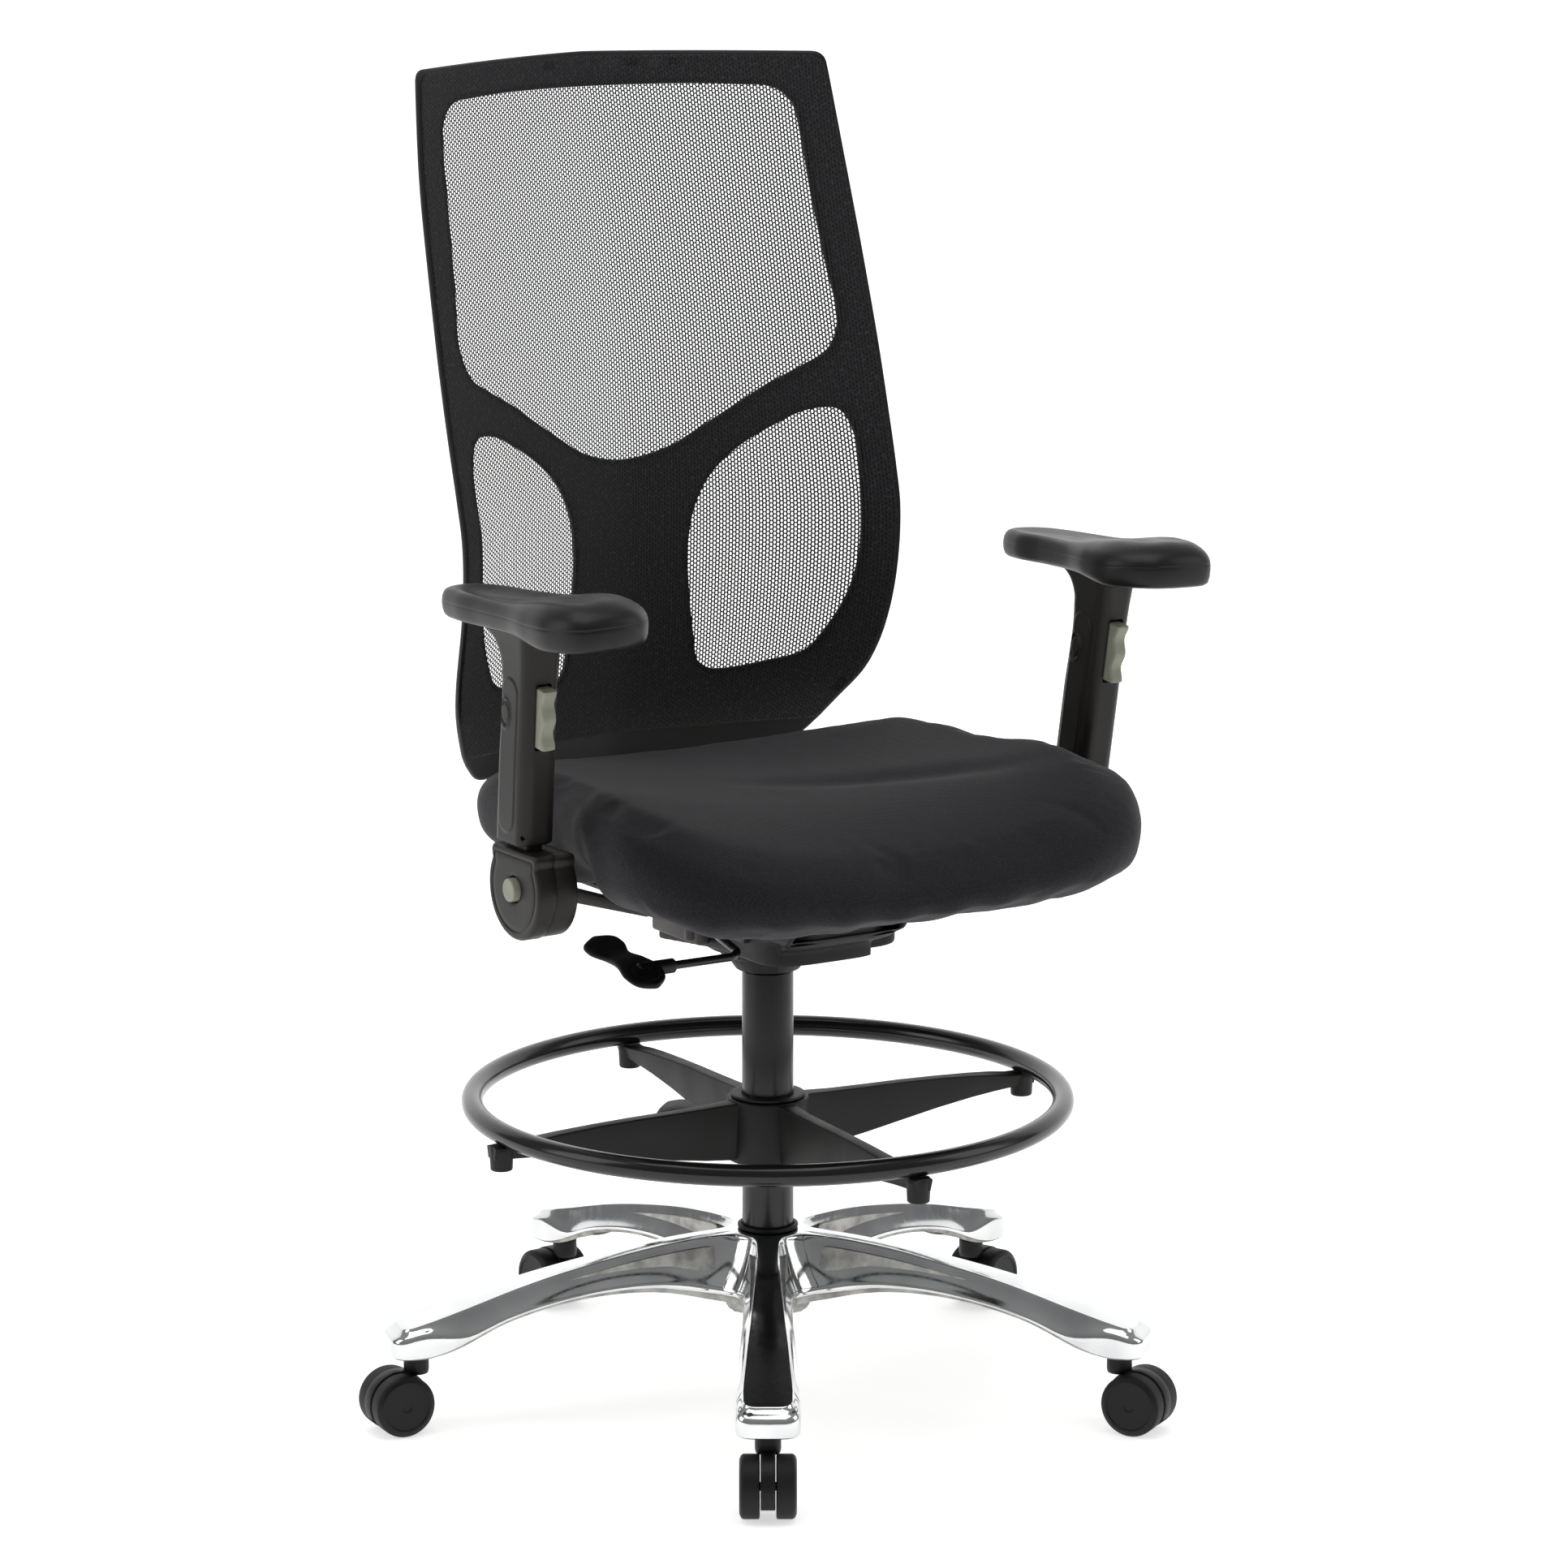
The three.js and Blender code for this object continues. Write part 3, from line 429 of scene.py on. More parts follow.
# %% Light
def soft_box(name, place, size, power, target=(0, 0, 0.6)):
    lamp = bpy.data.lights.new(name, "AREA")
    lamp.shape = "RECTANGLE"
    lamp.size, lamp.size_y = size
    lamp.energy = power
    holder = bpy.data.objects.new(name, lamp)
    holder.location = place
    aim = Vector(target) - Vector(place)
    holder.rotation_euler = aim.to_track_quat("-Z", "Y").to_euler()
    bpy.context.scene.collection.objects.link(holder)


def at_camera(right, ahead, up):
    """A place given as the camera sees it: metres to its right, away from it past the chair, and up."""
    x = right * math.cos(HEADING) + ahead * math.sin(HEADING)
    y = -right * math.sin(HEADING) + ahead * math.cos(HEADING)
    return (x, y, up)


soft_box("overhead", at_camera(-0.2, -0.6, 3.6), (3.2, 2.4), 42)
soft_box("left_box", at_camera(-3.2, -0.9, 1.9), (1.6, 2.6), 25)
soft_box("right_box", at_camera(3.2, -0.3, 1.9), (1.6, 2.6), 19)
soft_box("background_wash", at_camera(0, 1.6, 3.4), (4.0, 1.2), 9, at_camera(0, 4.6, 0.8))


def surroundings():
    """Dim and grey towards the camera, bright above: what the polished metal has to reflect."""
    world = bpy.data.worlds.new("studio")
    bpy.context.scene.world = world
    world.use_nodes = True
    tree = world.node_tree
    spot = add_node(tree, "ShaderNodeTexCoord")
    parts = add_node(tree, "ShaderNodeSeparateXYZ", {0: spot.outputs["Generated"]})
    shade = add_node(tree, "ShaderNodeValToRGB", {0: parts.outputs["Z"]})
    shade.color_ramp.elements[0].color = (0.62, 0.62, 0.63, 1)
    shade.color_ramp.elements[1].position = 0.75
    shade.color_ramp.elements[1].color = (1.0, 1.0, 1.0, 1)
    back = tree.nodes["Background"]
    tree.links.new(shade.outputs["Color"], back.inputs["Color"])
    back.inputs["Strength"].default_value = 0.27


surroundings()

# %% [markdown]
# ## Finishes
# Every finish starts from what the real one is and how its surface was made. Two helpers do what they all
# share: a fine relief, whose size and depth are real millimetres, and a slow wander of roughness or colour,
# because no moulded, cast or sprayed surface is perfectly even. Patterns read Object coordinates, in
# metres, so a pattern's scale is one over its size in metres.

# %% Helpers for finishes
def new_finish(name, colour, roughness, **shader_settings):
    """A material with its Principled shader, as (material, node tree, shader)."""
    finish = bpy.data.materials.new(name)
    finish.use_nodes = True
    tree = finish.node_tree
    shader = tree.nodes["Principled BSDF"]
    shader.inputs["Base Color"].default_value = linear(colour)
    shader.inputs["Roughness"].default_value = roughness
    for key, value in shader_settings.items():
        shader.inputs[key.replace("_", " ")].default_value = value
    return finish, tree, shader


def noise_of(tree, size_mm, detail=2.0, stretch=(1, 1, 1)):
    """Noise with blotches of about size_mm, read from the piece's own place in space."""
    place = add_node(tree, "ShaderNodeTexCoord")
    mapped = add_node(tree, "ShaderNodeMapping", {0: place.outputs["Object"], "Scale": stretch})
    return add_node(
        tree,
        "ShaderNodeTexNoise",
        {0: mapped.outputs[0], "Scale": 1 / (size_mm * MM), "Detail": detail, "Roughness": 0.55},
    )


def relief(tree, shader, height, depth_mm, strength=1.0):
    """Raises the surface by depth_mm where height is 1."""
    bump = add_node(
        tree, "ShaderNodeBump", {"Height": height, "Distance": depth_mm * MM, "Strength": strength}
    )
    tree.links.new(bump.outputs[0], shader.inputs["Normal"])


def wander(tree, shader, socket, source, low, high):
    """Drives a number of the shader between low and high by a 0 to 1 pattern."""
    spread = add_node(
        tree, "ShaderNodeMapRange", {0: source, 1: 0.3, 2: 0.7, 3: low, 4: high}
    )
    tree.links.new(spread.outputs[0], shader.inputs[socket])


def tint(tree, shader, source, dark, light, low=0.35, high=0.65):
    """Mixes two close colours by a 0 to 1 pattern."""
    ramp = add_node(tree, "ShaderNodeValToRGB", {0: source})
    ramp.color_ramp.elements[0].position = low
    ramp.color_ramp.elements[0].color = linear(dark)
    ramp.color_ramp.elements[1].position = high
    ramp.color_ramp.elements[1].color = linear(light)
    tree.links.new(ramp.outputs[0], shader.inputs["Base Color"])


# %% [markdown]
# The base is die-cast aluminium, ground and buffed on its outside only. Buffing leaves a mirror that is
# slightly wavy, because the wheel follows the casting, and faint streaks. The underside stays as it left
# the die: pale grey, dull and grainy.

# %% Metals
def polished_aluminium():
    finish, tree, shader = new_finish("buffed_cast_aluminium", "#E0E1E2", 0.12, Metallic=1.0)
    waves = noise_of(tree, 45, 1.0)
    streaks = noise_of(tree, 6, 3.0, (1, 1, 0.25))
    wander(tree, shader, "Roughness", streaks.outputs[0], 0.07, 0.15)
    tint(tree, shader, waves.outputs[0], "#D9DADB", "#E8E9EA")
    relief(tree, shader, waves.outputs[0], 0.25, 0.5)
    return finish


def raw_cast_aluminium():
    finish, tree, shader = new_finish("as_cast_aluminium", "#A8A7A3", 0.5, Metallic=1.0)
    grit = noise_of(tree, 1.6, 4.0)
    patches = noise_of(tree, 18, 2.0)
    tint(tree, shader, patches.outputs[0], "#8F8E8A", "#B9B8B4")
    wander(tree, shader, "Roughness", grit.outputs[0], 0.42, 0.62)
    relief(tree, shader, grit.outputs[0], 0.25)
    return finish


def zinc_plated_steel():
    finish, tree, shader = new_finish("bright_zinc_plated_steel", "#B9B9B5", 0.3, Metallic=1.0)
    spangle = noise_of(tree, 3, 2.0)
    tint(tree, shader, spangle.outputs[0], "#A6A7A4", "#C6C6C1")
    wander(tree, shader, "Roughness", spangle.outputs[0], 0.24, 0.38)
    return finish


# %% [markdown]
# The tubes are steel with a sprayed and baked powder coat. It flows out smooth but keeps a faint orange
# peel of about 2 mm, and its gloss is between satin and full. The brackets and the back's bar are dipped
# in thin electro-coat instead, browner and duller.

# %% Coated steels
def coated_steel(name, colour, low, high, peel_mm, depth_mm):
    finish, tree, shader = new_finish(name, colour, (low + high) / 2)
    shader.inputs["Coat Weight"].default_value = 0.12
    shader.inputs["Specular IOR Level"].default_value = 0.4
    shader.inputs["Coat Roughness"].default_value = 0.18
    peel = noise_of(tree, peel_mm, 1.0)
    clouds = noise_of(tree, 60, 2.0)
    wander(tree, shader, "Roughness", clouds.outputs[0], low, high)
    relief(tree, shader, peel.outputs[0], depth_mm)
    return finish


# %% [markdown]
# Mouldings copy their mould. Black glass-filled nylon has a fine spark-eroded grain that scatters light,
# so a black part looks dark grey where it faces a lamp, and thin flow marks where the resin met. The arm
# pads are polyurethane foam that forms its own skin in the mould: satin, with a leather-fine pebble.

# %% Mouldings
def moulded(name, dark, light, low, high, grain_mm=0.7, depth_mm=0.04):
    finish, tree, shader = new_finish(name, dark, (low + high) / 2)
    grain = noise_of(tree, grain_mm, 2.0)
    shader.inputs["Specular IOR Level"].default_value = 0.3
    flow = noise_of(tree, 40, 3.0, (1, 1, 0.5))
    tint(tree, shader, flow.outputs[0], dark, light)
    wander(tree, shader, "Roughness", flow.outputs[0], low, high)
    relief(tree, shader, grain.outputs[0], depth_mm)
    return finish


POLISHED = polished_aluminium()
AS_CAST = raw_cast_aluminium()
ZINC = zinc_plated_steel()
POWDER_COAT = coated_steel("satin_black_powder_coat", "#121213", 0.24, 0.34, 2.2, 0.02)
RING_COAT = coated_steel("glossy_black_powder_coat", "#141415", 0.15, 0.24, 2.2, 0.015)
E_COAT = coated_steel("brown_black_electro_coat", "#2A2624", 0.42, 0.55, 1.2, 0.02)
NYLON = moulded("grained_black_nylon", "#121111", "#181716", 0.44, 0.56, 0.8, 0.05)
ARM_NYLON = moulded("satin_black_nylon", "#171412", "#1E1B19", 0.36, 0.46, 0.9, 0.03)
CASTER_NYLON = moulded("smooth_black_nylon", "#0A0A0A", "#0F0F0F", 0.4, 0.52, 1.0, 0.03)
TREAD = moulded("black_polyurethane_tread", "#0E0E0E", "#151414", 0.5, 0.66, 1.2, 0.05)
PAD_SKIN = moulded("self_skinned_polyurethane", "#161617", "#1D1D1E", 0.34, 0.44, 1.4, 0.08)
GREY_ABS = moulded("grey_green_abs", "#8C8D7D", "#97988A", 0.4, 0.52, 0.9, 0.02)
print("finishes:", len(bpy.data.materials))

# %% [markdown]
# ## The star base
# Five arms grow out of a hub in one casting. Each arm's flat top facet runs on around the hub into the
# next arm's, with no seam between them. The mesh is laid out in the same way: half an
# arm, from its middle line to the line half-way to its neighbour, is one patch between three plan curves:
# the middle line, the edge of the facet, and the outline. Mirrored and turned five times, the halves meet
# point on point, and merging them closes the casting. A boolean join of five bars would leave creases.

# %% Sizes of an arm
HALF_STEP = math.radians(36)
BORE = 25.4
TIP = 385.0
FACET_HEIGHT = [[20, 169.5], [55, 169], [121, 163], [187, 152], [252, 138], [317, 120], [385, 102]]
UNDERSIDE = [[20, 106], [55, 106], [121, 119], [204, 118], [269, 104], [330, 80], [345, 77], [385, 76.5]]
FACET_HALF = [[60, 10.6], [120, 11], [200, 14.2], [280, 19], [340, 22.6], [385, 24]]
OUTLINE_HALF = [[70, 25], [110, 24], [200, 25], [280, 28], [340, 30.8], [385, 30.8]]
FAN, STRAIGHT, NOSE = 16, 26, 12  # stations round the hub, along the arm and round its tip


def on_half_step(radius):
    return [radius * math.cos(HALF_STEP), radius * math.sin(HALF_STEP)]


def arm_curves():
    """The middle line, the facet's edge and the outline in plan, station by station."""
    fan_end, straight_end = 112.0, 346.0
    straight = np.linspace(fan_end, straight_end, STRAIGHT)[1:]
    arc = np.linspace(HALF_STEP, 0, 8)
    bore = np.column_stack([BORE * np.cos(arc), BORE * np.sin(arc)])
    spine = np.column_stack([np.linspace(BORE, fan_end, FAN - 6)[1:], np.zeros(FAN - 7)])
    middle = np.concatenate([bore, spine])
    facet = flowing(
        [on_half_step(39), [37.6, 15.6], [47, 12.3], [62, 11], [fan_end, along(FACET_HALF, fan_end)]],
        len(middle),
    )
    outline = flowing(
        [on_half_step(66), [58.2, 32.6], [66, 28], [80, 25.2], [fan_end, along(OUTLINE_HALF, fan_end)]],
        len(middle),
    )
    middle = np.concatenate([middle, np.column_stack([straight, np.zeros(len(straight))])])
    facet = np.concatenate([facet, np.column_stack([straight, along(FACET_HALF, straight)])])
    outline = np.concatenate([outline, np.column_stack([straight, along(OUTLINE_HALF, straight)])])
    wide = along(FACET_HALF, straight_end)
    nose = rounded([[straight_end, wide], [373, wide * 0.98], [373, 0]], [0, 15, 0], steps=10)
    full = along(OUTLINE_HALF, straight_end)
    cap = rounded([[straight_end, full], [TIP - 1, full * 0.97], [TIP, 0]], [0, 19, 0], steps=10)
    end = np.column_stack([np.linspace(straight_end, 360, NOSE + 1)[1:], np.zeros(NOSE)])
    middle = np.concatenate([middle, end])
    facet = np.concatenate([facet, spaced(nose, NOSE + 1)[1:]])
    outline = np.concatenate([outline, spaced(cap, NOSE + 1)[1:]])
    return middle, facet, outline


def arm_half():
    """One half of an arm as a grid: each station is a line from the middle of the top, over the facet's
    edge, down the fluted side, under the skirt and back to the middle of the underside."""
    middle, facet, outline = arm_curves()
    top, under = along(FACET_HEIGHT, middle[:, 0]), along(UNDERSIDE, outline[:, 0])
    radius = np.linalg.norm(facet, axis=1)
    facet_top = along(FACET_HEIGHT, radius)
    outline_top = along(FACET_HEIGHT, np.linalg.norm(outline, axis=1))
    near_tip = step_up(np.linalg.norm(outline, axis=1), 300, 362)
    high = outline_top - under
    rows = []
    for share in (0, 0.35, 0.65, 0.84, 0.93):
        plan = middle + (facet - middle) * share
        crown = 0.5 * share**2
        rows.append(np.column_stack([plan, top + (facet_top - top) * share - crown]))
    side = [
        (0.0, 0.985, 0.985), (0.05, 0.955, 0.965), (0.12, 0.88, 0.93), (0.22, 0.77, 0.895),
        (0.36, 0.63, 0.86),
        (0.52, 0.5, 0.83), (0.68, 0.395, 0.8), (0.82, 0.315, 0.76), (0.92, 0.262, 0.7), (0.98, 0.225, 0.6),
        (1.0, 0.18, 0.45), (0.985, 0.145, 0.2), (0.93, 0.125, 0.06),
    ]
    for share, along_arm, at_tip in side:
        plan = facet + (outline - facet) * share
        lift = along_arm + (at_tip - along_arm) * near_tip
        reference = facet_top + (outline_top - facet_top) * share
        rows.append(np.column_stack([plan, under + (reference - under) * lift]))
    polished_rows = len(rows)
    inward = middle - outline
    inward /= np.maximum(np.linalg.norm(inward, axis=1), 1e-6)[:, None]
    depth = np.linalg.norm(middle - outline, axis=1)
    shelf = 0.125 * (1 - near_tip) * high
    for reach, drop in ((3.2, 0.9), (3.8, 0.45), (4.4, 0.05), (5.4, 0.0), (7.6, 0.0)):
        plan = outline + inward * np.minimum(reach, depth * 0.4)[:, None]
        rows.append(np.column_stack([plan, under + shelf * drop]))
    for share in (0.3, 0.36, 0.42, 0.5, 0.6, 0.7, 0.8, 0.9, 1.0):
        plan = outline + (middle - outline) * share
        rows.append(np.column_stack([plan, underside_height(plan, under)]))
    return np.array(rows), polished_rows


def underside_height(plan, skirt):
    """The hollow under the arm, the hub's boss and the solid end that takes the caster's stem."""
    distance = np.linalg.norm(plan, axis=1)
    ceiling = along(FACET_HEIGHT, plan[:, 0]) - 9
    hollow = step_up(distance, 58, 64) * (1 - step_up(distance, 331, 337))
    boss = 1 - step_up(distance, 40, 44)
    height = skirt + (ceiling - skirt) * hollow
    return height + (90 - height) * boss


def star_base():
    """Ten half arms, merged. Faces from the skirt's inner edge inwards keep their as-cast finish."""
    rows, polished_rows = arm_half()
    count, stations = rows.shape[:2]
    quads = grid_faces(count, stations, wrap=False)
    raw = np.repeat(np.arange(count - 1) >= polished_rows - 1, stations - 1)
    parts = []
    for k in range(5):
        for side in (1, -1):
            arm = rows * np.array([1, side, 1])
            parts.append(moved((arm.reshape(-1, 3), quads), turn(72 * k - 122)))
    points, faces = together(*parts)
    return piece("cast_star_base", points, faces, POLISHED, AS_CAST, looks=np.tile(raw, 10), angle=38,
                 weld=0.05, bridge=True)


seat_on(star_base(), "base", "polished_aluminium", "star_base")

# %% [markdown]
# ## Casters
# A chair caster is two disc wheels on one axle, with a hooded fork between them whose stem turns in the
# arm's end. Everything here is turned or swept, so a lathe makes the wheels, and the hood is an arc of
# plastic bent round the wheels' tops. The wheels' outer faces are slightly dished inside a raised rim.

# %% Sizes of a caster
WHEEL = 30.0
WHEEL_WIDE = 19.0
CASTER_WIDE = 53.0
STEM_RADIUS = 356.0
TRAIL = 21.0
HOOD_CROWN = WHEEL + 1
CASTER_TURN = {1: 0, 2: -9, 3: 0, 4: 0, 5: 9}  # how far each one has swivelled from straight outwards


def caster_place(number):
    """The matrix that puts a caster drawn round its own stem at the end of its arm."""
    arm = 72 * (number - 1) - 122
    return turn(arm) @ shift(STEM_RADIUS) @ turn(CASTER_TURN[number])


def wheel_half(side):
    """One wheel: a tread with soft shoulders, and a dished cap with a small pip in its centre."""
    half = CASTER_WIDE / 2
    inner = half - WHEEL_WIDE
    disc = rounded(
        [[4.6, inner], [22, inner], [23.5, inner + 1], [26.5, inner + 1], [27, inner], [WHEEL, inner + 0.4],
         [WHEEL, half - 2.2], [WHEEL - 5, half], [23, half], [22.4, half - 0.9], [5, half - 0.4],
         [4.2, half - 1.2],
         [0.0, half - 1.2]],
        [0, 0.6, 0.4, 0.6, 0.4, 3.2, 4.5, 1.2, 0.4, 0.4, 0.6, 0.4, 0], steps=5,
    )
    axle = [[0.0, inner + 6], [4.6, inner + 6]]
    points, faces = lathe(np.concatenate([axle, disc]), 72)
    return moved((points, faces), shift(TRAIL, 0, WHEEL) @ turn(-90 * side, "X"))


def tread_look(points, faces):
    """The tread is a softer plastic than the cap, so faces on the rim get the second finish."""
    centre = np.array([TRAIL, 0, WHEEL])
    looks = []
    for face in faces:
        middle = np.mean([points[i] for i in face], 0) - centre
        looks.append(math.hypot(middle[0], middle[2]) > WHEEL - 2.6)
    return looks


def fork():
    """Stem, flange and hood in one moulding, with the axle through it."""
    hood_half = CASTER_WIDE / 2 - WHEEL_WIDE - 0.6
    arc = [math.radians(a) for a in np.linspace(-28, 205, 34)]
    outer = [[TRAIL + HOOD_CROWN * math.cos(a), WHEEL + HOOD_CROWN * math.sin(a)] for a in arc]
    inner = [[TRAIL + 19 * math.cos(a), WHEEL + 19 * math.sin(a)] for a in arc]
    boss = [[TRAIL + 10 * math.cos(a), WHEEL + 10 * math.sin(a)] for a in np.linspace(math.pi, 2 * math.pi,
            9)]
    outline = rounded(outer + [[inner[-1][0], inner[-1][1]]] + boss + [inner[0]], 1.0, True, 2)
    hood = moved(plate(outline, -hood_half, hood_half, 0.9), turn(90, "X"))
    flange = lathe(rounded([[0, 56], [11.5, 56], [12.2, 60], [12.2, 73.5], [11, 75.2], [5.6, 75.2], [5.6, 97],
                            [0, 98]], [0, 1, 1, 1, 1, 0.4, 1, 0]), 40)
    axle = moved(lathe([[0, -23], [4.1, -23], [4.1, 23], [0, 23]], 28),
                 shift(TRAIL, 0, WHEEL) @ turn(90, "X"))
    return hood, flange, axle


# %% Build the five casters
def caster(number):
    place = caster_place(number)
    wheels = [wheel_half(1), wheel_half(-1)]
    looks = sum((tread_look(*wheel) for wheel in wheels), [])
    points, faces = together(*[moved(wheel, place) for wheel in wheels])
    wheel = piece(f"twin_wheel_{number}", points, faces, CASTER_NYLON, TREAD, looks=looks, weld=0.005)
    seat_on(wheel, f"caster_wheels_{number}", "black_nylon", f"caster_wheel_left_{number}",
            f"caster_wheel_right_{number}")
    hood, flange, axle = [piece("part", *moved(part, place), CASTER_NYLON) for part in fork()]
    joined = carved(hood, flange, axle, operation="UNION")
    joined.name = f"caster_hood_{number}"
    smooth_shading(joined.data, 30)
    seat_on(joined, f"caster_{number}", "black_nylon", f"caster_fork_{number}")


for number in CASTER_TURN:
    caster(number)

# %% [markdown]
# ## Column, foot ring and its knob
# The column is a steel tube under powder coat. The ring is a bent tube too, screwed to four moulded spokes
# of a nylon hub, which slides on the column and is held by a knob. The spokes are deep ribs: their flat top
# carries the load, and their sides draft inwards so that they leave the mould.

# %% Turned parts of the column
TUBE_OUTER, TUBE_INNER, TUBE_BOTTOM, TUBE_TOP = 25.0, 23.0, 84.0, 428.0
CYLINDER = 14.0


def turned_piece(name, profile, material, body, slot, *nodes, segments=80):
    obj = piece(name, *lathe(profile, segments), material, angle=35, weld=0.01)
    return seat_on(obj, body, slot, *nodes)


column_profile = rounded(
    [[5.4, TUBE_BOTTOM], [TUBE_OUTER, TUBE_BOTTOM], [TUBE_OUTER, TUBE_TOP], [TUBE_INNER, TUBE_TOP],
     [TUBE_INNER, TUBE_BOTTOM + 4], [5.4, TUBE_BOTTOM + 4]], 0.7, True, 3)
turned_piece("column", np.concatenate([column_profile, column_profile[:1]]), POWDER_COAT, "base",
             "black_painted_steel", "column_tube")
turned_piece("hub_collar", ring_profile(TUBE_OUTER + 0.3, 29.5, 170.3, 174.2, 1.2), NYLON, "base",
             "black_nylon",
             "column_collar")
turned_piece("guide_bush", ring_profile(CYLINDER + 0.3, TUBE_INNER - 0.3, 336, TUBE_TOP - 1, 0.8), NYLON,
             "base",
             "black_nylon", "column_bushing")
turned_piece("thrust_race", ring_profile(5.4, 15, 88.3, 93.3, 0.8), ZINC, "base", "zinc_steel",
             "thrust_bearing")
turned_piece("circlip", ring_profile(5.4, 11, 81, 83.7, 0.4), ZINC, "piston", "zinc_steel", "retaining_clip")
turned_piece(
    "piston",
    rounded([[0, 76], [5, 76], [5, 93.6], [8, 93.6], [8, 97.6], [5, 97.6], [5, 444], [8.7, 444], [8.7, 458],
             [0, 458]], [0, 0.8, 0, 0.5, 0.5, 0, 0, 0.8, 0.8, 0]),
    ZINC, "piston", "zinc_steel", "piston_rod")
turned_piece(
    "gas_spring",
    rounded([[0, 464], [9, 464], [9, 120], [5.4, 120], [5.4, 112], [CYLINDER, 112], [CYLINDER, 436],
             [12.5, 500],
             [3.3, 500], [3.3, 474], [0, 474]], [0, 1, 1, 0.5, 0.5, 1.5, 1, 1, 0.5, 0, 0]),
    POWDER_COAT, "lift", "black_painted_steel", "gas_cylinder")
turned_piece("release_pin", rounded([[0, 478], [3, 478], [3, 506], [0, 506]], [0, 0.6, 0.9, 0]), ZINC,
             "valve",
             "zinc_steel", "valve_button", segments=32)

# %% [markdown]
# The ring is a plain torus, and the weld that closes such a ring isn't drawn. Each spoke ends in a pad
# under the ring and a round foot that holds the screw.

# %% Foot ring
RING_RADIUS, RING_TUBE, RING_Z = 287.4, 10.5, 300.7
SPOKE_TURN = -3
HUB_OUTER, HUB_BORE, HUB_TOP, HUB_BOTTOM = 40.0, 33.0, 302.0, 240.0


def foot_ring():
    rings = []
    for a in np.arange(160) / 160 * 2 * math.pi:
        circle = []
        for b in np.arange(24) / 24 * 2 * math.pi:
            reach = RING_RADIUS + RING_TUBE * math.cos(b)
            circle.append([reach * math.cos(a), reach * math.sin(a), RING_Z + RING_TUBE * math.sin(b)])
        rings.append(circle)
    rings.append(rings[0])
    points, faces = skin(rings, caps=False)
    return piece("foot_ring", points, faces, RING_COAT)


def spoke():
    """A tapering rib from the hub to under the ring, with a flat top and drafted sides."""
    under = RING_Z - RING_TUBE - 0.3
    reach = np.array([30, 45, 70, 110, 150, 190, 230, 256, 266, 274, 300])
    top = along([[30, HUB_TOP - 1], [60, HUB_TOP - 2.5], [190, 296.5], [262, 291.5], [274, under],
                 [300, under]], reach)
    bottom = along([[30, 243], [50, 244], [110, 252], [190, 266], [256, 275], [300, 278]], reach)
    half = along([[30, 12], [48, 8.6], [90, 7.6], [230, 8.2], [262, 9.5], [300, 9.5]], reach)
    rings = []
    for r, high, low, wide in zip(reach, top, bottom, half):
        foot = wide * 0.72
        section = rounded([[wide, high], [foot, low], [-foot, low], [-wide, high]], [1.6, 1.2, 1.2, 1.6],
                          True, 3)
        rings.append([[r, across, z] for across, z in section])
    return skin(rings)


def ring_foot():
    under = RING_Z - RING_TUBE - 0.3
    profile = rounded([[0, under - 24], [10.6, under - 24], [11.6, under - 4], [11, under - 0.4],
                       [0, under - 0.4]],
                      [0, 1.6, 1.5, 0.8, 0])
    return moved(lathe(profile, 40), shift(RING_RADIUS + 2))


def ring_hub():
    """Bore, barrel and spokes, joined into one moulding."""
    barrel = piece("ring_hub", *lathe(ring_profile(HUB_BORE, HUB_OUTER, HUB_BOTTOM, HUB_TOP, 1.6), 80), NYLON)
    tools = []
    for k in range(4):
        place = turn(SPOKE_TURN + 90 * k)
        tools.append(piece("part", *moved(spoke(), place), NYLON))
        tools.append(piece("part", *moved(ring_foot(), place), NYLON))
    boss = moved(lathe(rounded([[0, 30], [12, 30], [12, 54], [11, 55], [0, 55]], [0, 0, 0.8, 0, 0]), 40),
                 ALONG_X)
    tools.append(piece("part", *moved(moved(boss, shift(0, 0, KNOB_Z)), turn(KNOB_TURN)), NYLON))
    joined = carved(barrel, *tools, operation="UNION")
    bore = piece("part", *moved(lathe([[0, 200], [HUB_BORE, 200], [HUB_BORE, 340], [0, 340]], 80), shift()),
                 NYLON)
    shank = moved(lathe([[0, 20], [6.3, 20], [6.3, 60], [0, 60]], 32), ALONG_X)
    shank = piece("part", *moved(moved(shank, shift(0, 0, KNOB_Z)), turn(KNOB_TURN)), NYLON)
    carved(joined, bore, shank)
    joined.name = "ring_hub"
    return bevelled(joined, 0.6, 50, 2)


KNOB_TURN, KNOB_Z = 132, 276


def ring_knob():
    """A flat oval T-grip on a round shank, waisted so that a hand can turn it."""
    shank = lathe(rounded([[0, 34], [6, 34], [6, 70], [0, 70]], [0, 0.8, 0, 0]), 32)
    rings = []
    reach = np.concatenate([[0], np.linspace(2, 44, 15), [46]])
    wide = along([[0, 9], [6, 14], [14, 24], [24, 31], [36, 29], [43, 22], [46, 14]], reach)
    thick = along([[0, 7], [8, 8.5], [20, 11.5], [36, 11], [43, 8.5], [46, 4]], reach)
    for r, a, b in zip(reach, wide, thick):
        angle = np.arange(40) / 40 * 2 * math.pi
        x = b * np.sign(np.cos(angle)) * np.abs(np.cos(angle)) ** 0.8
        y = a * np.sign(np.sin(angle)) * np.abs(np.sin(angle)) ** 0.8
        rings.append(np.column_stack([x, y, np.full(40, 64 + r)]))
    grip = skin(rings)
    place = turn(KNOB_TURN) @ shift(0, 0, KNOB_Z) @ ALONG_X
    base = piece("ring_knob", *moved(grip, place), NYLON, angle=50)
    return carved(base, piece("part", *moved(shank, place), NYLON), operation="UNION")


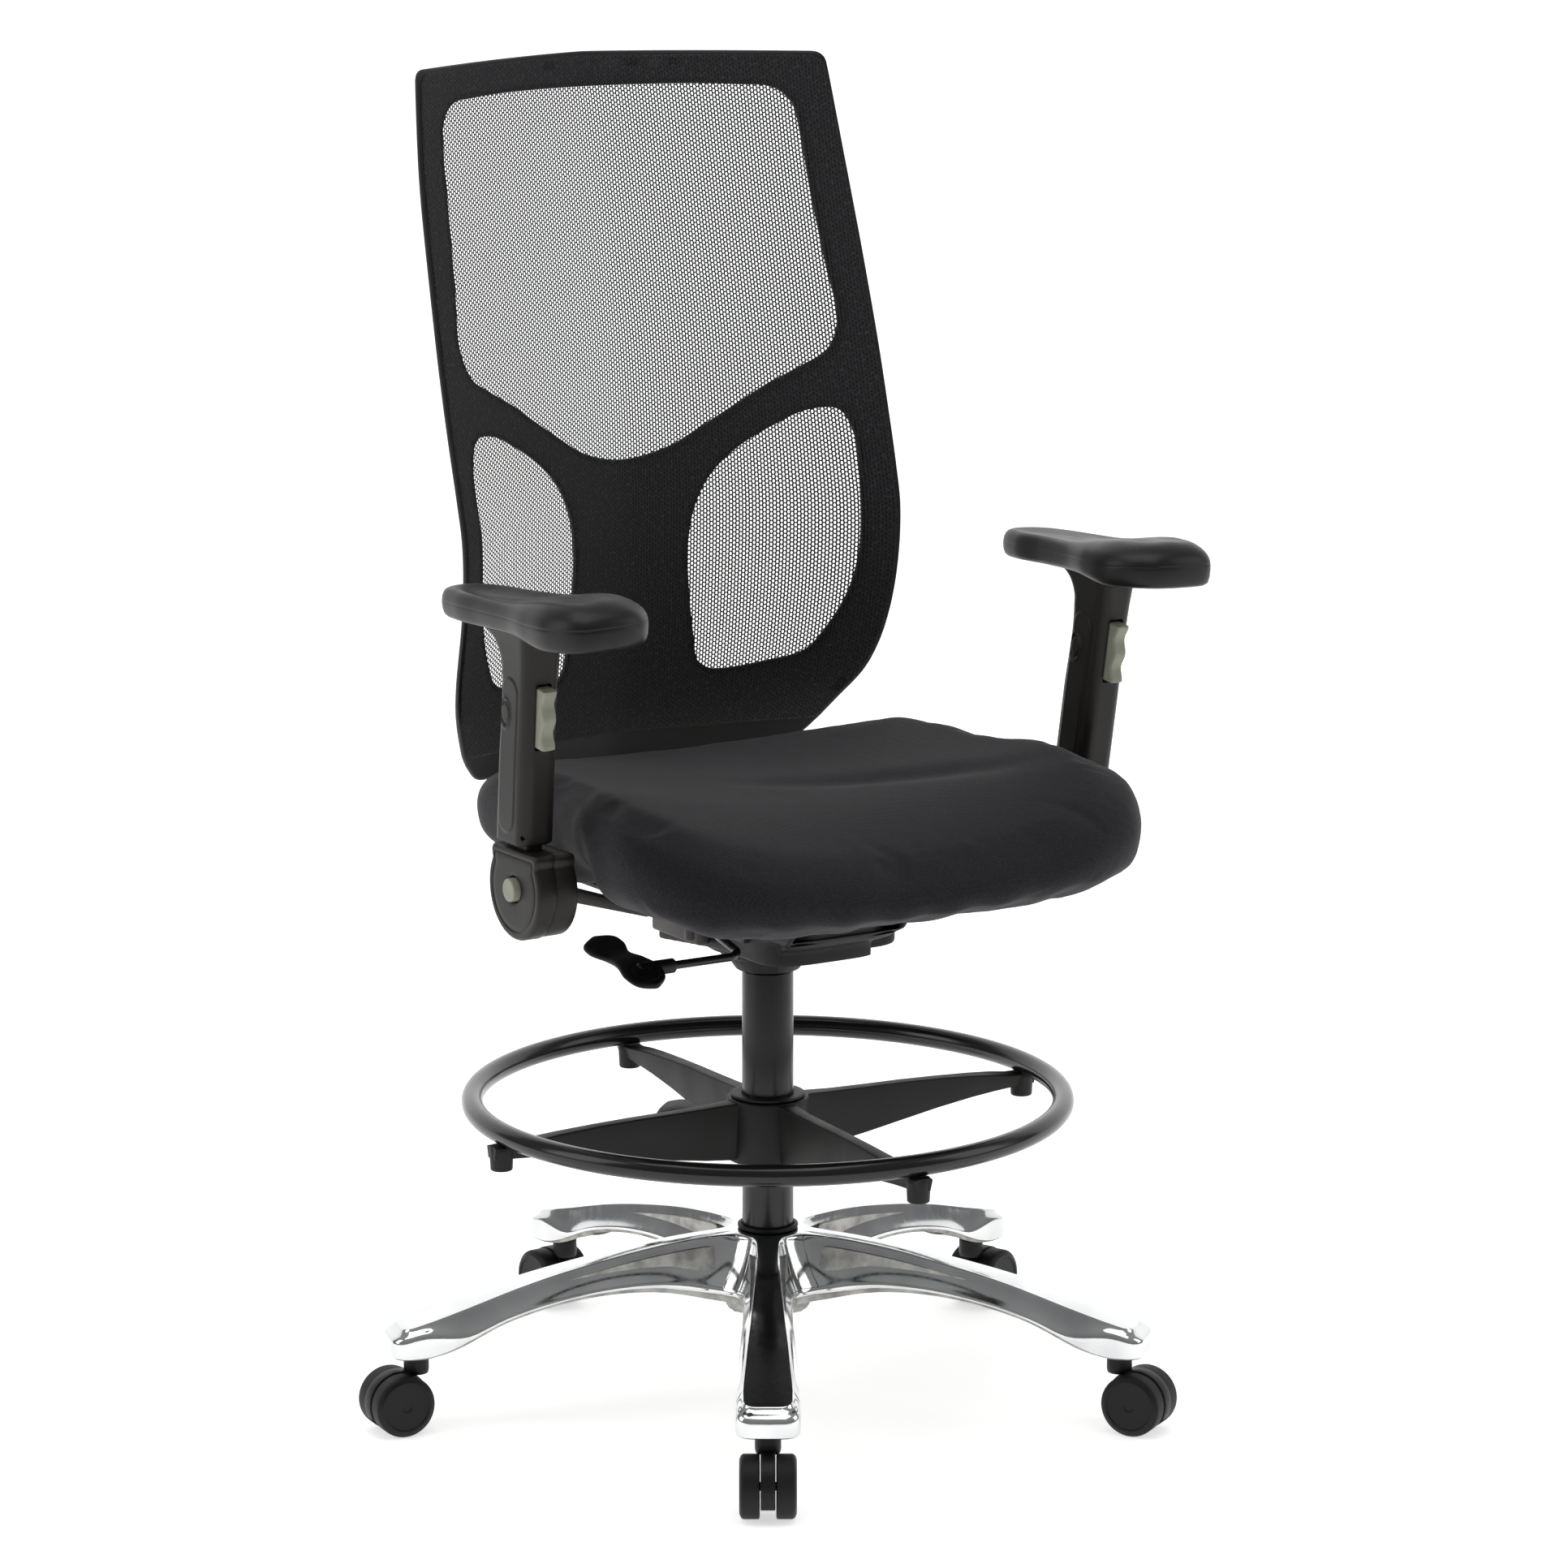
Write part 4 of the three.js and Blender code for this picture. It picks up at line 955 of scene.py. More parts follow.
seat_on(foot_ring(), "footring", "black_painted_steel", "footring_tube")
seat_on(ring_hub(), "footring", "black_nylon", "footring_hub")
bush = rounded([[TUBE_OUTER + 0.3, HUB_BOTTOM], [HUB_BORE - 0.3, HUB_BOTTOM], [HUB_BORE - 0.3, HUB_TOP + 0.5],
                [36, HUB_TOP + 0.9], [36, HUB_TOP + 3.6], [TUBE_OUTER + 0.3, HUB_TOP + 3.6]], 0.6, True, 3)
turned_piece("ring_bush", np.concatenate([bush, bush[:1]]), NYLON, "footring", "black_nylon",
             "footring_bushing")
seat_on(ring_knob(), "footring_knob", "black_nylon", "footring_knob")

# %% [markdown]
# ## The seat cushion
# A real cushion is a block of moulded foam in a stretched knit cover, so it has no flat faces and no
# straight lines: the cover bulges wherever the foam pushes. The cushion is drawn first as a skin a little
# smaller than the real one: an outline with the wide front and the narrower, rounded back, and a section
# with a tight edge. Cloth pressure then fills it, as the foam would, and the change is capped so that it
# stays the right size. The folds come last, on the filled shape.

# %% Shape of the seat
SEAT_MIDDLE = -46.0
SEAT_HALF = [
    [-314, 0], [-311, 110], [-299, 198], [-272, 256], [-222, 286], [-160, 289], [-124, 287], [-100, 282],
    [-80, 275], [-56, 270], [-20, 268], [20, 268], [90, 258], [140, 250], [175, 230], [198, 180], [208, 90],
    [210, 0],
]
SEAT_SECTION = [
    [0, 0], [0.55, 0], [0.86, 0.0], [0.96, 0.12], [1, 0.42], [0.992, 0.72], [0.95, 0.9], [0.85, 1], [0.5, 1],
    [0, 1],
]


def seat_top(x, y):
    """Height of the sitting surface: dished between the sides and falling away at the front."""
    bolster = 34 * (x / 270) ** 2 * np.minimum(1, (230 - y) / 130)
    waterfall = 42 * np.maximum(0, (-y - 120) / 190) ** 2
    return 618 + bolster - waterfall


def seat_under(x, y):
    """Height of the underside: over the pan it is flat, over the arm bars it lifts, and in front of them
    the cushion hangs lower."""
    over_bars = step_up(y, -150, -116) * (1 - step_up(y, -56, -20))
    return 540.3 + (8 + 26 * over_bars) * (np.abs(x) / 270) ** 3 - 9 * step_up(-y, 224, 262)


def seat_skin(shrink):
    """The cushion as a closed skin, shrink mm smaller all round."""
    half = np.array(SEAT_HALF, float)[:, ::-1]
    whole = np.concatenate([half, half[1:-1][::-1] * [-1, 1]])
    outline = inset(counter_clockwise(flowing(whole, 220, True)), shrink)
    centre = np.array([0, SEAT_MIDDLE])
    rings = []
    for scale, rise in flowing(SEAT_SECTION, 44)[1:-1]:
        plan = centre + (outline - centre) * scale
        low, high = seat_under(plan[:, 0], plan[:, 1]) + shrink * (plan[:, 1] > -224), seat_top(plan[:, 0],
                plan[:, 1]) - shrink
        rings.append(np.column_stack([plan, low + (high - low) * np.clip(rise, 0, 1)]))
    return skin(rings)


# %% Finish of the cover
def knit_cover():
    finish, tree, shader = new_finish("black_polyester_knit", "#15151A", 0.85)
    shader.inputs["Sheen Weight"].default_value = 0.12
    shader.inputs["Sheen Roughness"].default_value = 0.5
    shader.inputs["Specular IOR Level"].default_value = 0.25
    place = add_node(tree, "ShaderNodeTexCoord")
    loops = add_node(tree, "ShaderNodeTexVoronoi",
                     {"Vector": place.outputs["Object"], "Scale": 1 / (1.5 * MM), "Randomness": 0.55})
    heather = noise_of(tree, 2.4, 3.0)
    yarn = add_node(tree, "ShaderNodeMapRange", {0: loops.outputs["Distance"], 1: 0.15, 2: 0.75, 3: 1.0,
                                                 4: 0.0})
    blend = add_node(tree, "ShaderNodeMath", {0: yarn.outputs[0], 1: heather.outputs[0]},
                     operation="MULTIPLY")
    tint(tree, shader, blend.outputs[0], "#0E0E12", "#24242C", 0.12, 0.62)
    relief(tree, shader, yarn.outputs[0], 0.25, 0.6)
    return finish


KNIT = knit_cover()


# %% Fill the cushion and lay its folds
def filled(obj, voxel_mm, cap_mm):
    """Blows the skin up from inside with cloth pressure, never moving a point by more than cap_mm."""
    even = obj.modifiers.new("even", "REMESH")
    even.mode = "VOXEL"
    even.voxel_size = voxel_mm * MM
    made_plain(obj)
    start = np.array([v.co for v in obj.data.vertices])
    cover = obj.modifiers.new("cover", "CLOTH")
    cloth = cover.settings
    cloth.quality = 5
    cloth.mass = 0.3
    cloth.tension_stiffness = cloth.compression_stiffness = 15
    cloth.shear_stiffness = 5
    cloth.bending_stiffness = 0.5
    cloth.use_pressure = True
    cloth.uniform_pressure_force = 4
    cloth.effector_weights.gravity = 0
    cover.point_cache.frame_start, cover.point_cache.frame_end = 1, 20
    for frame_number in range(1, 21):
        bpy.context.scene.frame_set(frame_number)
    made_plain(obj)
    bpy.context.scene.frame_set(1)
    change = np.array([v.co for v in obj.data.vertices]) - start
    length = np.linalg.norm(change, axis=1)
    print(f"pressure moved the cover by up to {length.max() / MM:.1f} mm, mean {length.mean() / MM:.1f} mm")
    change *= (np.minimum(length, cap_mm * MM) / np.maximum(length, 1e-9))[:, None]
    obj.data.vertices.foreach_set("co", (start + change).ravel())
    return obj


def fold(at, line, wide, deep):
    """A soft valley deep mm into the cover, along a line of chair points, wide mm to each side."""
    line = flowing(line, 40)
    away = np.sqrt(((at[:, None, :] - line[None, :, :]) ** 2).sum(-1))
    nearest_point = away.argmin(1)
    share = nearest_point / (len(line) - 1)
    fade = np.sin(math.pi * np.clip(share, 0.02, 0.98)) ** 0.5
    return -deep * fade * np.exp(-((away.min(1) / wide) ** 2))


SEAT_FOLDS = [
    # (points along the fold, half width, depth)
    ([[-40, -24, 618], [36, -59, 619], [104, -90, 624], [174, -132, 626], [214, -150, 628]], 22, 5.0),
    ([[-258, -150, 560], [-240, -200, 566], [-216, -244, 578]], 6, 3.6),
    ([[-236, -176, 550], [-212, -230, 558], [-180, -266, 572]], 6, 4.0),
    ([[-196, -236, 546], [-164, -270, 554], [-128, -290, 566]], 6, 3.0),
    ([[250, -200, 562], [264, -164, 566], [274, -128, 574]], 6, 2.8),
    ([[228, -236, 556], [250, -206, 558], [264, -170, 560]], 5, 2.4),
    ([[104, -296, 546], [140, -286, 550], [174, -272, 556]], 8, 2.4),
    ([[180, -266, 550], [206, -248, 554], [228, -224, 560]], 7, 2.2),
]


def seat_cushion():
    points, faces = seat_skin(4.0)
    obj = filled(piece("seat_cushion_cover", points, faces, KNIT), 6.0, 6.0)
    finer = obj.modifiers.new("finer", "SUBSURF")
    finer.levels = finer.render_levels = 1
    made_plain(obj)
    mesh = obj.data
    co = np.array([v.co for v in mesh.vertices])
    at = (co - AXIS) / MM
    normal = np.array([v.normal for v in mesh.vertices])
    lift = sum(fold(at, line, wide, deep) for line, wide, deep in SEAT_FOLDS)
    low_edge = np.exp(-(((at[:, 2] - seat_under(at[:, 0], at[:, 1]) - 8) / 12) ** 2)) * step_up(-at[:, 1],
            60, 200)
    lift = lift + 1.1 * low_edge * np.sin(np.arctan2(at[:, 0], -at[:, 1]) * 34)
    co += normal * (lift * MM)[:, None]
    over_pan = (np.abs(at[:, 0]) < 204) & (at[:, 1] > -224)
    co[over_pan, 2] = np.maximum(co[over_pan, 2], 540.3 * MM)
    mesh.vertices.foreach_set("co", co.ravel())
    mesh.materials.clear()
    mesh.materials.append(KNIT)
    mesh.polygons.foreach_set("material_index", [0] * len(mesh.polygons))
    smooth_shading(mesh, 180)
    return obj


cushion = seat_cushion()
seat_on(cushion, "seat", "seat_fabric", "seat_cushion")

# %% [markdown]
# ## The back: a moulded frame and a stretched net
# The back is a nylon frame with three windows, and a polyester mesh stretched over its whole front and
# held in a groove round the edge. The frame's surface is curved both ways, so one formula gives its depth
# at any place, and everything on the back asks that formula. Plan shapes are drawn flat, as outlines with
# rings of points inside them, so that edges can be rounded; the flat sheet is then bent onto the curve.

# %% The curved surface of the back
BACK_HALF = [
    [590, 181], [610, 199.5], [640, 218], [670, 234], [700, 242], [730, 245.5], [760, 247], [820, 248.5],
    [880, 249.3], [940, 249.6], [1000, 249], [1060, 247], [1120, 244.4], [1180, 241], [1240, 236],
    [1291, 231],
]
BACK_EDGE = [
    [570, 254], [590, 247.5], [610, 234.5], [640, 212.5], [670, 189], [700, 173], [730, 161], [760, 152],
    [790, 146.5], [820, 144], [850, 145.5], [880, 152.5], [940, 169], [1000, 185.5], [1090, 210.5],
    [1180, 235.5], [1291, 260.5],
]
BACK_MIDDLE = [[570, 289], [590, 288], [650, 275], [700, 270], [750, 268], [930, 268], [1000, 275],
               [1100, 295],
               [1291, 340]]
FRAME_DEEP = 17.0


def back_depth(x, z):
    """The front face of the frame: how far back it lies at a place across and up."""
    edge, middle = along(BACK_EDGE, z), along(BACK_MIDDLE, z)
    share = np.minimum(1, np.abs(x) / along(BACK_HALF, z))
    return edge + (middle - edge) * (1 - share**1.6)


def both_sides(half):
    """A closed outline from its right half, listed from the bottom middle to the top middle."""
    half = [list(p) for p in half]
    return half + [[-x, z] for x, z in reversed(half) if x > 0]


def back_outline(bottom, inset_by, bottom_round, sag=3):
    half = [[0, bottom - sag], [90, bottom - sag], [150, bottom - 1]]
    half.append([float(along(BACK_HALF, bottom)) - inset_by, bottom])
    half += [[float(along(BACK_HALF, z)) - inset_by, z] for z in range(int(bottom) + 18, 1270, 12)]
    half += [[231 - inset_by, 1287 - inset_by], [0, 1291 - inset_by]]
    rounding = [0, 0, 30, bottom_round] + [0] * (len(half) - 6) + [30, 0]
    line = rounded(both_sides(half), rounding + rounding[1:-1][::-1], True, 8)
    return counter_clockwise(spaced(line, 560, True))


UPPER_WINDOW = both_sides([
    [0, 893], [50, 904], [85, 924], [116, 943], [146, 962], [180, 980], [204, 995], [216, 1022], [212, 1080],
    [207, 1150], [204, 1205], [199, 1236], [184, 1251], [150, 1255], [0, 1257],
])
LOWER_WINDOW = [
    [92, 676], [150, 683], [180, 693], [195, 715], [208, 746], [216, 786], [218, 850], [218, 915], [208, 936],
    [180, 936], [147, 921], [113, 900], [86, 873], [71, 842], [65, 805], [66, 768], [72, 715], [79, 684],
]


def window_outlines():
    """The three windows, wound the other way round, so that moving inwards moves into the frame."""
    upper = counter_clockwise(flowing(UPPER_WINDOW, 300, True))[::-1]
    lower = counter_clockwise(flowing(LOWER_WINDOW, 190, True))[::-1]
    other = counter_clockwise(lower * [-1, 1])[::-1]
    return [upper, lower, other]


WINDOWS = window_outlines()
print("windows:", [len(w) for w in WINDOWS])

# %% [markdown]
# A flat region is filled in two parts: rings that follow each edge at set distances, and triangles over an
# even field of points between them. The rings carry the rounding, and the field lets the sheet bend.


# %% Fill a flat region with rings and triangles
def inside(points, outline):
    """Which points lie inside a closed outline, by counting crossings."""
    x, z = points[:, 0][:, None], points[:, 1][:, None]
    ax, az = outline[:, 0], outline[:, 1]
    bx, bz = np.roll(ax, -1), np.roll(az, -1)
    spans = (az > z) != (bz > z)
    crossing = ax + (z - az) / np.where(bz == az, 1e-9, bz - az) * (bx - ax)
    return (spans & (x < crossing)).sum(1) % 2 == 1


def nearest(points, lines):
    """Distance from each point to the nearest point of some outlines."""
    every = np.concatenate(lines)
    return np.sqrt(((points[:, None, :] - every[None, :, :]) ** 2).sum(-1).min(1))


def filled_region(loops, offsets, spacing):
    """Plan points, faces and each point's distance from the edge, for a region with holes."""
    plan, faces, depth = [], [], []
    innermost = []
    for loop in loops:
        start = sum(len(p) for p in plan)
        rings = [inset(loop, d) for d in offsets]
        plan += rings
        depth += [np.full(len(loop), d) for d in offsets]
        faces += grid_faces(len(offsets), len(loop), start)
        innermost.append(rings[-1])
    low, high = loops[0].min(0), loops[0].max(0)
    across = np.arange(low[0], high[0], spacing)
    up = np.arange(low[1], high[1], spacing * 0.866)
    field = np.array([[x + (row % 2) * spacing / 2, z] for row, z in enumerate(up) for x in across])
    field = field[inside(field, innermost[0])]
    for hole in innermost[1:]:
        field = field[~inside(field, hole)]
    field = field[nearest(field, innermost) > spacing * 0.6]
    edges, corners, start = [], [], 0
    for ring in innermost:
        corners.append(ring)
        edges += [(start + i, start + (i + 1) % len(ring)) for i in range(len(ring))]
        start += len(ring)
    corners.append(field)
    given = [Vector(p) for p in np.concatenate(corners)]
    made = geometry.delaunay_2d_cdt(given, edges, [], 0, 1e-4)
    points = np.array([v[:] for v in made[0]])
    triangles = np.array([f[:] for f in made[2] if len(f) == 3])
    middle = points[triangles].mean(1)
    keep = inside(middle, innermost[0])
    for hole in innermost[1:]:
        keep &= ~inside(middle, hole)
    start = sum(len(p) for p in plan)
    plan.append(points)
    depth.append(nearest(points, loops))
    faces += (triangles[keep] + start).tolist()
    return np.concatenate(plan), faces, np.concatenate(depth)


# %% [markdown]
# The frame is a shell with a round back: thin at every edge and full in the middle of each limb. A shallow
# groove runs just inside the outer edge at the front, where the mesh is pressed in.


# %% Frame of the back
def back_frame():
    outline = back_outline(590, 0, 22, 13)
    plan, faces, depth = filled_region([outline, *WINDOWS], [0, 0.5, 1.5, 3, 5, 8, 12], 11)
    x, z = plan[:, 0], plan[:, 1]
    surface = back_depth(x, z)
    edge_round = 3.2 * (1 - np.sqrt(np.clip(1 - (1 - np.clip(depth / 3, 0, 1)) ** 2, 0, 1)))
    front = surface + 0.4 + edge_round
    fullness = step_up(depth, 0, 24)
    rear_round = 4.0 * (1 - np.sqrt(np.clip(1 - (1 - np.clip(depth / 5, 0, 1)) ** 2, 0, 1)))
    rear = surface + 9.5 + (FRAME_DEEP - 9.5) * fullness - rear_round
    front_part = (np.column_stack([x, front, z]), faces)
    rear_part = (np.column_stack([x, rear, z]), faces)
    walls, count, start = [], len(plan), 0
    rim_count = 7
    for loop in [outline, *WINDOWS]:
        n = len(loop)
        for i in range(n):
            j = (i + 1) % n
            walls.append([start + i, start + j, count + start + j, count + start + i])
        start += n * rim_count
    points, all_faces = together(front_part, rear_part)
    return piece("back_frame", points, all_faces + walls, NYLON, angle=45, weld=0.01)


seat_on(back_frame(), "backrest", "black_nylon", "back_frame")

# %% [markdown]
# The mesh is drawn as a warp knit: upright threads zigzag and are tied to their neighbours at each bend,
# which leaves long six-sided holes in staggered columns. Over the windows the holes are real. One hole with its
# share of thread is a small cell of six quads; Geometry Nodes puts a cell at every point of a staggered
# field, merges their shared corners, and gives them their finish. The spacing, 3.0 mm across and
# 4.4 mm up, is a rough estimate, because so fine a net can hardly be measured, and a thread's width is set
# by how much light the windows let through. Over the frame the mesh lies on black, where its holes only
# make a dark grain, so there it is a plain sheet with the cell pattern in its finish. The two parts make
# one sheet of cloth.

# %% Finish of the threads
THREAD_PITCH, HOLE = 3.0, 4.4  # spacing of the threads across, and of the holes up each column, in mm
SWING = 0.42  # how far a thread zigzags to each side, in mm


def mesh_thread():
    finish, tree, shader = new_finish("black_polyester_mesh", "#0C0C0E", 0.7)
    shader.inputs["Sheen Weight"].default_value = 0.05
    shader.inputs["Sheen Roughness"].default_value = 0.4
    shader.inputs["Specular IOR Level"].default_value = 0.3
    place = add_node(tree, "ShaderNodeTexCoord")
    turned = add_node(tree, "ShaderNodeMapping", {0: place.outputs["UV"]})
    cells = add_node(
        tree, "ShaderNodeTexBrick",
        {"Vector": turned.outputs[0], "Color1": linear("#070708"), "Color2": linear("#0B0B0C"),
         "Mortar": linear("#232326"), "Scale": 1.0, "Mortar Size": 0.24, "Mortar Smooth": 0.35,
         "Brick Width": HOLE / THREAD_PITCH, "Row Height": 1.0},
        offset=0.5, offset_frequency=2, squash=1.0)
    fleck = add_node(tree, "ShaderNodeTexNoise", {"Vector": turned.outputs[0], "Scale": 0.9, "Detail": 2.0})
    lift = add_node(tree, "ShaderNodeMapRange", {0: fleck.outputs[0], 1: 0.52, 2: 0.72, 3: 0.0, 4: 0.75})
    shade = add_node(tree, "ShaderNodeMix",
                     {"Factor": lift.outputs[0], 6: cells.outputs["Color"], 7: linear("#38383C")},
                     data_type="RGBA", blend_type="MIX")
    tree.links.new(shade.outputs[2], shader.inputs["Base Color"])
    relief(tree, shader, cells.outputs["Fac"], 0.3)
    return finish


THREAD = mesh_thread()


# %% Nodes that lay the cells
def net_nodes():
    """A node group that puts a copy of a cell on every point and welds the copies into one net."""
    group = bpy.data.node_groups.new("open_net", "GeometryNodeTree")
    face = group.interface
    face.new_socket("Places", in_out="INPUT", socket_type="NodeSocketGeometry")
    face.new_socket("Cell", in_out="INPUT", socket_type="NodeSocketObject")
    face.new_socket("Weld distance", in_out="INPUT", socket_type="NodeSocketFloat")
    face.new_socket("Finish", in_out="INPUT", socket_type="NodeSocketMaterial")
    face.new_socket("Net", in_out="OUTPUT", socket_type="NodeSocketGeometry")
    start = group.nodes.new("NodeGroupInput")
    cell = add_node(group, "GeometryNodeObjectInfo", {"Object": start.outputs["Cell"]})
    copies = add_node(group, "GeometryNodeInstanceOnPoints",
                      {"Points": start.outputs["Places"], "Instance": cell.outputs["Geometry"]})
    real = add_node(group, "GeometryNodeRealizeInstances", {0: copies.outputs[0]})
    welded = add_node(group, "GeometryNodeMergeByDistance",
                      {"Geometry": real.outputs[0], "Distance": start.outputs["Weld distance"]})
    finished = add_node(group, "GeometryNodeSetMaterial",
                        {"Geometry": welded.outputs[0], "Material": start.outputs["Finish"]})
    add_node(group, "NodeGroupOutput", {0: finished.outputs[0]})
    return group


def net_cell():
    """Six quads between a long hexagon and the hole inside it, flat in X and Z."""
    half, tall = THREAD_PITCH / 2, HOLE / 2
    outer = [[half - SWING, tall], [half + SWING, 0], [half - SWING, -tall], [SWING - half, -tall],
             [-half - SWING, 0], [SWING - half, tall]]
    inner = [[x * 0.56, z * 0.7] for x, z in outer]
    points = [[x * MM, 0, z * MM] for x, z in outer + inner]
    faces = [[i, (i + 1) % 6, 6 + (i + 1) % 6, 6 + i] for i in range(6)]
    mesh = bpy.data.meshes.new("net_cell")
    mesh.from_pydata(points, [], faces)
    obj = bpy.data.objects.new("net_cell", mesh)
    bpy.context.scene.collection.objects.link(obj)
    return obj


def cell_places():
    """Centres of all cells that show in a window, or lie within a thread's width of one."""
    columns = np.arange(-80, 80)
    rows = np.arange(int(650 / (HOLE / 2)), int(1275 / (HOLE / 2)))
    column, row = [a.ravel() for a in np.meshgrid(columns, rows)]
    staggered = (column + row) % 2 == 1
    places = np.column_stack([(column + 0.5) * THREAD_PITCH, row * HOLE / 2])[staggered]
    shown = np.zeros(len(places), bool)
    for window in WINDOWS:
        shown |= inside(places, inset(window, 4.2))
    return places[shown]


# %% Net and border, bent onto the back
MESH_LIFT = -1.7  # the cloth lies this far in front of the frame, in mm


def window_net():
    places = cell_places()
    mesh = bpy.data.meshes.new("net")
    mesh.from_pydata([[x * MM, 0, z * MM] for x, z in places], [], [])
    obj = bpy.data.objects.new("net", mesh)
    bpy.context.scene.collection.objects.link(obj)
    cell = net_cell()
    group = net_nodes()
    change = obj.modifiers.new("net", "NODES")
    change.node_group = group
    sockets = {s.name: s.identifier for s in group.interface.items_tree if s.in_out == "INPUT"}
    change[sockets["Cell"]] = cell
    change[sockets["Weld distance"]] = 0.05 * MM
    change[sockets["Finish"]] = THREAD
    made_plain(obj, cell)
    flat = np.array([v.co for v in obj.data.vertices]) / MM
    bent = np.column_stack([flat[:, 0], back_depth(flat[:, 0], flat[:, 2]) + MESH_LIFT, flat[:, 2]])
    faces = [list(p.vertices) for p in obj.data.polygons]
    bpy.data.objects.remove(obj)
    print("net cells:", len(places), "faces:", len(faces))
    return bent, faces


CLOTH_EDGE = (618, 3.5, 14)  # its lower end, its distance inside the back's edge, its lower corners' radius
CLOTH_WIDEST = 940  # the height at which the cloth is widest
CLOTH_HALF = 246  # and half its width there
CLOTH_RISE = (618, 1291)  # where its upright run starts and ends


def border_sheet():
    """The cloth over the frame, up to a thread's width past each window's edge."""
    outline = back_outline(*CLOTH_EDGE)
    edges = [inset(w, 1.2) for w in WINDOWS]
    plan, faces, _ = filled_region([outline, *edges], [0, 1.2, 3, 6], 10)
    tuck = 0.9 * (1 - np.clip(nearest(plan, [outline]) / 1.6, 0, 1)) ** 2
    y = back_depth(plan[:, 0], plan[:, 1]) + MESH_LIFT + 0.5 + tuck
    return np.column_stack([plan[:, 0], y, plan[:, 1]]), faces


def mesh_cloth():
    points, faces = together(border_sheet(), window_net())
    obj = piece("back_mesh_cloth", points, faces, THREAD, angle=60, weld=0.03)
    layer = obj.data.uv_layers.new(name="cloth")
    corner = np.zeros(len(obj.data.loops), int)
    obj.data.loops.foreach_get("vertex_index", corner)
    at = (np.array([v.co for v in obj.data.vertices]) - AXIS)[corner] / MM
    layer.uv.foreach_set("vector", np.column_stack([at[:, 2] / THREAD_PITCH,
                                                    at[:, 0] / THREAD_PITCH]).ravel())
    return obj


cloth = mesh_cloth()
seat_on(cloth, "backrest", "back_mesh_fabric", "back_mesh")


def cloth_size():
    """The cloth laid flat: its width and height along the curve, and the area inside its outline, with
    the windows counted as cloth. All are measured on the bent surface, in metres."""
    plan, faces, _ = filled_region([back_outline(*CLOTH_EDGE)], [0, 6], 10)
    bent = np.column_stack([plan[:, 0], back_depth(plan[:, 0], plan[:, 1]), plan[:, 1]]) * MM
    area = 0.0
    for face in faces:
        corners = bent[face]
        for k in range(1, len(face) - 1):
            area += np.linalg.norm(np.cross(corners[k] - corners[0], corners[k + 1] - corners[0])) / 2
    across = np.linspace(-CLOTH_HALF, CLOTH_HALF, 200)
    row = np.column_stack([across, back_depth(across, np.full(len(across), float(CLOTH_WIDEST)))])
    up = np.linspace(*CLOTH_RISE, 300)
    column = np.column_stack([back_depth(np.zeros(len(up)), up), up])
    run = [float(np.linalg.norm(np.diff(line, axis=0), axis=1).sum()) * MM for line in (row, column)]
    print("cloth laid flat:", [round(v, 3) for v in run], "m, area", round(float(area), 4), "m2")
    return (round(run[0], 3), round(run[1], 3)), round(float(area), 4)


CLOTH_FLAT, CLOTH_AREA = cloth_size()

# %% [markdown]
# ## The arms
# Each arm pivots on a pin at the seat's side. Its lower end is a moulded knuckle in two shells, a thick
# outer one with the release button and a thinner inner one. A flat steel post stands in the knuckle, a
# sleeve slides on the post, and the pad sits on the sleeve. One arm is drawn with X outwards, and mirrored
# for the other side.

# %% Shapes shared by both arms
PIVOT = (309.0, -86.0, 563.0)
OUTER, INNER = PIVOT[0] + 21, PIVOT[0] - 21
SPLIT = INNER + 23
POST_OUT, POST_BACK = 3.0, 14.0  # where the post stands, from the middle of the knuckle
TO_SIDE = Matrix(((0, 0, 1, 0), (1, 0, 0, 0), (0, 1, 0, 0), (0, 0, 0, 1)))  # drawn (y, z), raised along X


def on_side(part, side):
    points, faces = part
    return np.asarray(points, float) * [side, 1, 1], faces


def on_post(part, side):
    """From the post's own upright frame to the chair: it leans forwards by 8 degrees and outwards by 2."""
    return moved(on_side(part, side), shift(side * (PIVOT[0] + POST_OUT), PIVOT[1] + POST_BACK,
                                            PIVOT[2]) @ turn(8, "X") @ turn(side * 2, "Y"))


def knuckle_outline():
    """A big round with a flat top, listed from the middle of the top."""
    angle = np.radians(np.linspace(148, 392, 40))
    arc = np.column_stack([48 * np.cos(angle), 48 * np.sin(angle)])
    line = np.concatenate([[[0, 37.5], [-44, 37.5]], arc, [[44, 37.5]]])
    radii = [0, 7] + [0] * len(arc) + [7]
    return spaced(rounded(line, radii, True, 6), 180, True)


def shell(outline, steps):
    """A skin over an outline: steps are (inset, place along X), and a number instead of an inset pair
    means a round ring of that radius."""
    wave = 0.7 * np.sin(2 * np.arctan2(outline[:, 1], outline[:, 0]))
    direction = outline / np.linalg.norm(outline, axis=1)[:, None]
    rings = []
    for kind, size, x, wavy in steps:
        ring = outline * (1 - size / 48) if kind == "flat" else direction * size
        rings.append(np.column_stack([ring, x + wave * wavy]))
    return moved(skin(rings), TO_SIDE)


